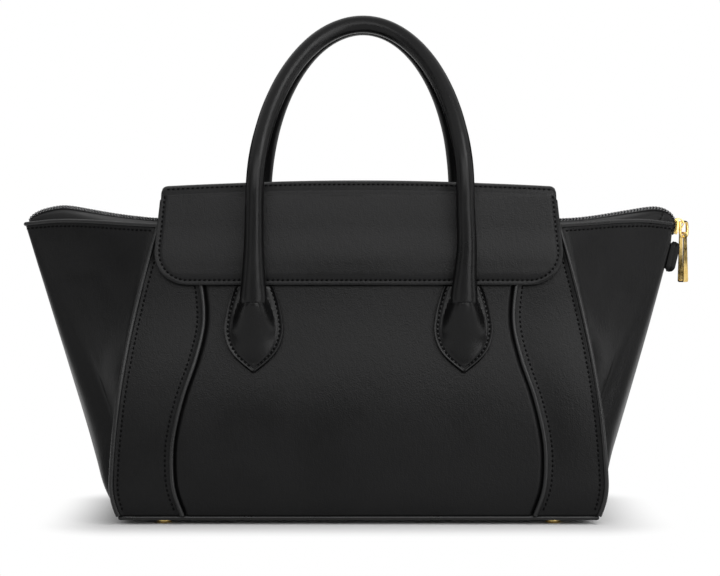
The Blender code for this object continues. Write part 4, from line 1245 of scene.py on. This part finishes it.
flap_back = leather_piece("flap_top_leather", 96, 48, flap_back_place, BACK_LEATHER, flap_leather,
                          "flap_leather", ["flap_top", "flap_back_strip"], edge=FLAP_EDGE,
                          skip=lambda spot: spot.y < SPLIT_Y + SPLIT_NEAR)
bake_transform(flap_back)

LINING_HEM = 0.0032
LINING_CLOTH = 0.0005
LINING_BACK = 0.036
GLUE = 0.0001
lining_look, twill = start_material("lining_twill", {"Roughness": 0.8, "Specular IOR Level": 0.25,
                                                     "Sheen Weight": 0.2})
laid = twill.node("ShaderNodeMapping", {"Vector": twill.place(), "Rotation": (0.6, 0.8, 0.4)})
ribs = twill.node("ShaderNodeTexWave", {"Vector": laid, "Scale": 330.0, "Distortion": 0.5, "Detail": 2.0})
twill_tone = ribs.mix((0.030, 0.027, 0.025), (0.055, 0.050, 0.046))
finish_material(lining_look, {"Base Color": twill_tone, "Normal": ribs.bump(0.35, 0.0002)})


def front_lining_place(u, v):
    return flap_front_place(u, v, FLAP_LEATHER + GLUE, LINING_HEM)


def top_lining_place(u, v):
    y = between(LINING_BACK, SPLIT_Y, v)
    x = between(FLAP_TOP_HALF - LINING_HEM, -FLAP_TOP_HALF + LINING_HEM, u)
    return Vector((middle_x + x, y, FLAP_TOP - FLAP_LEATHER - 2 * GLUE + flap_crown(x)))


front_lining = cloth_piece("flap_front_backing", 60, 60, front_lining_place, LINING_CLOTH,
                           lining_look, "lining", "flap_front_lining")
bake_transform(front_lining)
top_lining = cloth_piece("flap_top_backing", 60, 20, top_lining_place, LINING_CLOTH,
                         lining_look, "lining", "flap_top_lining")
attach(top_lining, "flap_top")

# Handles: each is a round cotton core wrapped in leather, sewn along its inner side. The legs
# widen where the leather opens out, and end in the swell of a teardrop tab.
HANDLE_RADIUS = 0.0060
HANDLE_HALF = 0.0685
HANDLE_COLUMNS = 32
HANDLE_ROWS = 260
HANDLE_CAP = 0.0035
SEAM_PINCH = (0.09, 0.0, 0.022)
SEAM_LIP = (0.02, 0.06, 0.03)
WRINKLE = 0.02
LEG_WRINKLE = 0.4
HANDLE_SWAY = 0.0028
SWAY_CURVE = 1.3
RIGHT_BOW = 0.0015
BOW_AT = 0.182
BOW_SPREAD = 0.020
LOOK_ROUND = 0.004
CORE_RADIUS = 0.0040
TAB_TOP = 0.1549
PIVOT_Z = 0.1449
ARCH_Z = 0.2149
ARCH_HEIGHT = 0.1155
ARCH_STEPS = 96
LEG_STEPS = 22
LEG_Y = 0.05939
APEX_Y = 0.0078
LEAN_BEND = 0.040
LEG_END_Z = 0.1395
LEG_HEIGHTS = (0.139, 0.1443, 0.149, 0.160, 0.172, 0.186, 0.215)
LEG_HALVES = (0.0074, 0.0086, 0.0088, 0.0078, 0.0070, 0.00640, 0.0060)
LEG_DEPTHS = (0.0050, 0.0062, 0.0063, 0.0064, 0.0063, 0.0061, 0.0060)
HANDLE_TONE = (0.0036, 0.0036, 0.0038)
handle_leather = leather("handle_calf", HANDLE_TONE, 0.28, grain=0.16, shine=0.19)


def lean_y(z):
    slope = (LEG_Y - APEX_Y) / (ARCH_HEIGHT - LEAN_BEND / 2)
    above = z - ARCH_Z
    if above <= 0:
        return LEG_Y
    if above < LEAN_BEND:
        return LEG_Y - slope * above ** 2 / (2 * LEAN_BEND)
    return LEG_Y - slope * (above - LEAN_BEND / 2)


def sway(x, z):
    """The handles don't stand quite straight: they lean to the right, and the right leg bows out."""
    lean = HANDLE_SWAY * max((z - PIVOT_Z) / (ARCH_Z + ARCH_HEIGHT - PIVOT_Z), 0.0) ** SWAY_CURVE
    return lean + (RIGHT_BOW * math.exp(-((z - BOW_AT) / BOW_SPREAD) ** 2) if x > 0 else 0.0)


handle_line = [(-HANDLE_HALF, between(LEG_END_Z, ARCH_Z, i / LEG_STEPS)) for i in range(LEG_STEPS)]
for i in range(ARCH_STEPS + 1):
    turn = math.pi * i / ARCH_STEPS
    handle_line.append((-HANDLE_HALF * math.cos(turn), ARCH_Z + ARCH_HEIGHT * math.sin(turn)))
handle_line += [(HANDLE_HALF, between(ARCH_Z, LEG_END_Z, i / LEG_STEPS)) for i in range(1, LEG_STEPS + 1)]
handle_points = [Vector((x + sway(x, z), -lean_y(z), z)) for x, z in handle_line]
handle_runs = measured(handle_points)


def wave(spot, height, middle, spread):
    """A single low wave beside the handle's seam."""
    return height * math.exp(-((spot - middle) / spread) ** 2)


def handle_place(u, v, facing):
    """u goes round the tube from its inner seam, and v runs from the left leg's end to the right's."""
    run = handle_runs[-1] * v
    spot, _ = walked(handle_points, handle_runs, run)
    before, _ = walked(handle_points, handle_runs, run - LOOK_ROUND)
    after, _ = walked(handle_points, handle_runs, run + LOOK_ROUND)
    along = (after - before).normalized()
    if spot.z < ARCH_Z:
        inner = Vector((math.copysign(1, -spot.x), 0, 0))
        wide = through(LEG_HEIGHTS, LEG_HALVES, spot.z)
        deep = through(LEG_HEIGHTS, LEG_DEPTHS, spot.z)
    else:
        inner = Vector((-spot.x / HANDLE_HALF ** 2, 0, -(spot.z - ARCH_Z) / ARCH_HEIGHT ** 2))
        wide = deep = HANDLE_RADIUS
    if abs(spot.x) < 1e-6:
        inner = Vector((0, 0, -1))
    inner = (inner - along * inner.dot(along)).normalized()
    side = along.cross(inner).normalized()
    seam = min(u, 1 - u)
    pinch = 1 - wave(seam, *SEAM_PINCH) + wave(seam, *SEAM_LIP)
    end = min(v, 1 - v) * handle_runs[-1]
    cap = math.sqrt(max(1 - (1 - min(end / HANDLE_CAP, 1.0)) ** 2, 0.0))
    wrinkle = 1 + ripple(spot + Vector((u, 2.0, 0)), 45, WRINKLE) * (1 if spot.z > ARCH_Z else LEG_WRINKLE)
    angle = 2 * math.pi * u
    offset = (inner * math.cos(angle) * wide + side * math.sin(angle) * deep) * pinch * cap * wrinkle
    return on_side(spot + offset, 1, facing)


for side, facing in SIDES:
    def place(u, v, facing=facing):
        return handle_place(u if facing > 0 else 1 - u, v, facing)
    handle = grid_piece(f"{side}_rolled_handle", HANDLE_COLUMNS, HANDLE_ROWS, place)
    mark = handle.data.attributes.new("border", "FLOAT", "POINT")
    for i in range(len(handle.data.vertices)):
        u = i % (HANDLE_COLUMNS + 1) / HANDLE_COLUMNS
        mark.data[i].value = 1.0 + min(u, 1 - u) * 2 * math.pi * HANDLE_RADIUS
    merge_points(handle, 0.00002)
    smooth(handle, 75)
    dress(handle, handle_leather, "handle_leather", f"{side}_handle")
    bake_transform(handle)

core_look, cotton = start_material("cotton_core", {"Roughness": 0.95, "Specular IOR Level": 0.1})
strands = cotton.node("ShaderNodeTexWave", {"Vector": cotton.place(), "Scale": 260.0, "Distortion": 2.0},
                      bands_direction="DIAGONAL")
cotton_tone = strands.mix((0.45, 0.42, 0.36), (0.66, 0.63, 0.56))
finish_material(core_look, {"Base Color": cotton_tone, "Normal": strands.bump(0.6, 0.0004)})
for side, facing in SIDES:
    path = [on_side(spot, 1, facing) for spot in handle_points if spot.z > PIVOT_Z]
    core = rolled(f"{side}_cotton_core", path, CORE_RADIUS)
    dress(core, core_look, "core", f"{side}_handle_core")
    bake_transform(core)

# Handle tabs: teardrops of leather sewn flat to the front and back. The handle's end lies under
# each one and swells it, and a crease runs across where the leg turns up.
TAB_TIP = TAB_TOP - 0.0545
TAB_HALF = 0.0193
TAB_SEWN_AT = 0.0023
TAB_PRESS = 0.0008
TAB_THICKNESS = 0.0036
TAB_UNDER = 0.0006
TAB_EDGE = 0.0009
TAB_BELLY = BELLY * 0.8
TAB_CLEAR = 0.84
CLEAR_POWER = -6
PRESS_RUN = 0.9
TAB_HEIGHT_SHARES = (0.0, 0.04, 0.09, 0.19, 0.305, 0.47, 0.61, 0.79, 0.96, 1.0)
TAB_WIDTH_SHARES = (0.06, 0.20, 0.38, 0.68, 0.885, 1.0, 0.970, 0.865, 0.71, 0.64)
SWELL_HEIGHTS = (0.100, 0.107, 0.118, 0.128, 0.136, 0.1405, 0.1443, 0.1453, 0.1466, 0.155)
SWELL_LIFTS = (0.0, 0.0005, 0.0036, 0.0080, 0.0114, 0.0130, 0.0138, 0.0126, 0.0010, 0.0)
SWELL_HALVES = (0.0150, 0.0160, 0.0168, 0.0158, 0.0136, 0.0118, 0.0102, 0.0099, 0.0097, 0.0095)
SWELL_FLAT = 1.25
SWELL_FULL = 0.5
SWELL_CHANGE = (0.120, 0.1455)


def tab_half(z):
    return through(TAB_HEIGHT_SHARES, TAB_WIDTH_SHARES, (z - TAB_TIP) / (TAB_TOP - TAB_TIP)) * TAB_HALF


def tab_spot(x, z):
    """The outer side of a tab at x from its middle. The swell ends softly inside the tab's width."""
    swell = through(SWELL_HEIGHTS, SWELL_LIFTS, z)
    widths = through(SWELL_HEIGHTS, SWELL_HALVES, z), tab_half(z) * TAB_CLEAR
    half = sum(width ** CLEAR_POWER for width in widths) ** (1 / CLEAR_POWER)
    across = min(abs(x) / half, 1.0)
    lift = swell * (1 - across ** 2) ** between(SWELL_FLAT, SWELL_FULL, soft(z, *SWELL_CHANGE))
    lift = max(lift, 0.0) - pressed((tab_half(z) - abs(x)) * PRESS_RUN, TAB_SEWN_AT, TAB_PRESS)
    rim = face_y(z) + TAB_BELLY * math.sin(math.pi * rise(z)) + TAB_THICKNESS
    return Vector((x, -(rim + lift), z))


for side, facing in SIDES:
    for hand, across in HANDS:
        def place(u, v, facing=facing, across=across):
            z = between(TAB_TIP, TAB_TOP, clustered(v, 0.5))
            half = tab_half(z)
            x = between(-half, half, clustered(u if facing > 0 else 1 - u, 0.6))
            return Vector((middle_x + across * HANDLE_HALF + x, facing * tab_spot(x, z).y, z))
        tab = leather_piece(f"{side}_teardrop_{hand}", 52, 90, place, TAB_THICKNESS - TAB_UNDER, handle_leather,
                            "panel_leather", [f"{side}_handle_tab_{hand}"], edge=TAB_EDGE)
        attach(tab, "bag")

# Stitching: waxed black thread, about eight stitches to the inch, sunk a little into the leather
# beside every seam: round the flap, down the side panels, round the tabs and under the binding.
STITCH_PITCH = 0.0032
TAB_PITCH = 0.0030
STITCH_SLANT = 0.10
STITCH_PROUD = 0.0002
S_SEWN_AT = 0.0046
CORNER_SEWN_AT = 0.0042
RIM_SEWN_AT = 0.0029
RIM_SEWN_RUN = (0.012, 0.42)
SEAM_SEWN_FROM = PANEL_LOW + 0.003
SEAM_SEWN_TO = BODY_TOP - 0.002
TAB_SEWN_FROM = TAB_TOP - 0.0015
TAB_SEWN_TO = TAB_TIP + 0.0030
OUTSIDE = 0.0015
thread_look, wax = start_material("black_thread", {"Specular IOR Level": 0.06, "Roughness": 0.6})
ply = wax.cloud(wax.place(), 2600.0, 1.0)
# Black thread, painted darker than the black leather. The extra darkness is painted shade of the sunken stitch
# holes.
thread_and_hole_shade_tone = ply.mix((0.0008, 0.0008, 0.0009), (0.0024, 0.0024, 0.0026))
finish_material(thread_look, {"Base Color": thread_and_hole_shade_tone, "Normal": ply.bump(0.5, 0.0001)})
stitch = one_bead(length=0.0021, width=0.0013, height=0.0010, segments=6, rings=4)


def sew(name, lines, pitch=STITCH_PITCH):
    """Stitches along runs of (point, outward normal) pairs, evenly spaced on each."""
    places = []
    for line in lines:
        points = [spot for spot, _ in line]
        runs = measured(points)
        count = max(int(round(runs[-1] / pitch)), 1)
        step = runs[-1] / count
        for i in range(count):
            distance = (i + 0.5) * step
            spot, along = walked(points, runs, distance)
            k = max(j for j in range(len(runs) - 1) if runs[j] <= distance)
            out = line[k][1].lerp(line[k + 1][1], (distance - runs[k]) / (runs[k + 1] - runs[k])).normalized()
            slanted = along + out.cross(along).normalized() * STITCH_SLANT
            places.append(frame_matrix(spot + out * STITCH_PROUD, slanted, out))
    piece = copies(name, stitch, places)
    return dress(piece, thread_look, "tape")


def laid_on(piece_name, spots, aim=None):
    """The points of a piece straight behind spots just outside it, or else the nearest, and its normals."""
    piece = bpy.data.objects[piece_name]
    found = []
    for spot in spots:
        hit = piece.ray_cast(spot, aim) if aim else (False,)
        found.append(hit if hit[0] else piece.closest_point_on_mesh(spot))
    return [(place, out) for _, place, out, _ in found]


for side, facing in SIDES:
    inwards = Vector((0, facing, 0))
    seam_lines = []
    tab_lines = []
    rim_lines = []
    for hand, across in HANDS:
        for near in (lambda z: seam_x(z) + S_SEWN_AT, lambda z: corner_x(z) - CORNER_SEWN_AT):
            spots = []
            for z in heights(60, SEAM_SEWN_FROM, SEAM_SEWN_TO):
                point = side_spot(near(z), z)
                spots.append(Vector((middle_x + across * point.x, facing * (point.y - OUTSIDE), point.z)))
            seam_lines.append(laid_on(f"{side}_side_{hand}", spots, inwards))
        marks = []
        for i in range(41):
            z = between(TAB_SEWN_FROM, TAB_SEWN_TO, i / 40)
            marks.append((-max(tab_half(z) - TAB_SEWN_AT, 0.0), z))
        marks += [(-x, z) for x, z in marks[-2::-1]]
        spots = [Vector((middle_x + across * HANDLE_HALF + x, facing * (tab_spot(x, z).y - OUTSIDE), z))
                 for x, z in marks]
        tab_lines.append(laid_on(f"{side}_teardrop_{hand}", spots, inwards))
        spots = []
        shape = wing_place(across)
        for i in range(51):
            point = shape(between(*RIM_SEWN_RUN, i / 50), 1 - RIM_SEWN_AT / (BODY_TOP - PANEL_LOW))
            spots.append(Vector((point.x + across * OUTSIDE * 0.3, facing * (point.y - OUTSIDE), point.z)))
        rim_lines.append(laid_on(f"wing_{hand}", spots))
    for name, lines, pitch in (("panel", seam_lines, STITCH_PITCH), ("tab", tab_lines, TAB_PITCH),
                               ("rim", rim_lines, STITCH_PITCH)):
        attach(sew(f"{side}_{name}_stitching", lines, pitch), "bag")

FOLD_SEWN_AT = math.radians(38)
SIDE_SEWN_FROM = FLAP_TOP - 0.0058
BACK_SEWN_RUN = (0.04, 0.985)
STRIP_SEWN_RUN = (0.06, 0.94)
STRIP_SEWN_AT = 0.035
flap_marks = [(-flap_half(z, FLAP_SEWN_AT), z)
              for z in (between(SIDE_SEWN_FROM, FLAP_BOTTOM + FLAP_CORNER, i / 30) for i in range(30))]
for i in range(25):
    z = FLAP_BOTTOM + FLAP_CORNER - (FLAP_CORNER - FLAP_SEWN_AT) * math.sin(math.pi / 2 * i / 24)
    flap_marks.append((-flap_half(z, FLAP_SEWN_AT), z))
low_half, low_z = -flap_marks[-1][0], flap_marks[-1][1]
low_marks = [(between(-low_half, low_half, i / 80), low_z) for i in range(1, 80)]
rim_spots = []
for x, z in flap_marks + low_marks + [(-x, z) for x, z in flap_marks[::-1]]:
    lifted = z + flap_crown(x) * soft(z, FLAP_CROWN_FROM, FLAP_TOP)
    rim_spots.append(Vector((middle_x + x, -(flap_front_y(z) + 2 * OUTSIDE), lifted)))
fold_half = flap_half(FLAP_TOP, FLAP_SEWN_AT)
fold_y = flap_front_y(FLAP_TOP) - FRONT_FOLD + (FRONT_FOLD + OUTSIDE) * math.cos(FOLD_SEWN_AT)
fold_z = FOLD_START + (FRONT_FOLD + OUTSIDE) * math.sin(FOLD_SEWN_AT)
fold_spots = []
for i in range(91):
    x = between(-fold_half, fold_half, i / 90)
    fold_spots.append(Vector((middle_x + x, -fold_y, fold_z + flap_crown(x))))
flap_thread = sew("flap_front_stitching", [laid_on("flap_front_leather", rim_spots, Vector((0, 1, 0))),
                                           laid_on("flap_front_leather", fold_spots)])
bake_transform(flap_thread)

lines = []
for x_sign in (-1, 1):
    spots = []
    for i in range(60):
        point = flap_back_place(0.5 - x_sign * 0.5, between(*BACK_SEWN_RUN, i / 59))
        spots.append(point + Vector((-x_sign * FLAP_SEWN_AT, OUTSIDE if point.y > 0.02 else 0.0, OUTSIDE)))
    lines.append(laid_on("flap_top_leather", spots))
low_spots = [flap_back_place(between(*STRIP_SEWN_RUN, i / 60), STRIP_SEWN_AT) + Vector((0, OUTSIDE, 0))
             for i in range(61)]
lines.append(laid_on("flap_top_leather", low_spots))
top_thread = sew("flap_top_stitching", lines)
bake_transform(top_thread)

# Inside: the bag is lined with twill from its floor to under the zip, and a flat slip pocket of
# the same cloth is sewn to the back of the lining, open along its top.
LINING_EASE = 0.0030
LINING_FLOOR = 0.0090
LINING_TOP = 0.1895
LINING_ROWS = 24
LINING_COLUMNS = 120
BAG_CLOTH = 0.0006
POCKET_HALF = 0.075
POCKET_LOW = 0.075
POCKET_TOP = 0.160
POCKET_GAPE = 0.0020
POCKET_INSIDE = 0.0012


def lining_ring(z):
    """The lining's outline at one height, as points round the bag."""
    ring = [Vector((p.x, p.y, 0)) for p in base_outline(LINING_EASE, z)]
    closed = ring + ring[:1]
    runs = measured(closed)
    return [walked(closed, runs, runs[-1] * i / LINING_COLUMNS)[0] for i in range(LINING_COLUMNS + 1)]


lining_levels = [between(LINING_FLOOR, LINING_TOP, i / LINING_ROWS) for i in range(LINING_ROWS + 1)]
lining_rings = [lining_ring(z) for z in lining_levels]


def lining_place(u, v):
    row = round(v * LINING_ROWS)
    spot = lining_rings[row][round(u * LINING_COLUMNS)]
    return Vector((middle_x + spot.x, spot.y, lining_levels[row]))


lining = grid_piece("twill_lining", LINING_COLUMNS, LINING_ROWS, lining_place)
build = bmesh.new()
build.from_mesh(lining.data)
bmesh.ops.remove_doubles(build, verts=build.verts, dist=0.00005)
rim = [edge for edge in build.edges
       if edge.is_boundary and all(vert.co.z < LINING_FLOOR + 0.001 for vert in edge.verts)]
bmesh.ops.contextual_create(build, geom=rim)
bmesh.ops.recalc_face_normals(build, faces=build.faces)
build.to_mesh(lining.data)
build.free()
apply_modifier(lining, "SOLIDIFY", thickness=BAG_CLOTH, offset=-1.0)
smooth(lining)
dress(lining, lining_look, "lining", "bag_lining")
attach(lining, "bag")


def pocket_place(u, v):
    z = between(POCKET_LOW, POCKET_TOP, v)
    x = between(-POCKET_HALF, POCKET_HALF, u)
    gape = POCKET_GAPE * v ** 3 * math.cos(x / (2 * POCKET_HALF) * math.pi)
    return Vector((middle_x + x, face_y(z) - LINING_EASE - POCKET_INSIDE - gape, z))


pocket = cloth_piece("twill_pocket", 40, 24, pocket_place, BAG_CLOTH, lining_look, "lining", "slip_pocket")
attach(pocket, "bag")
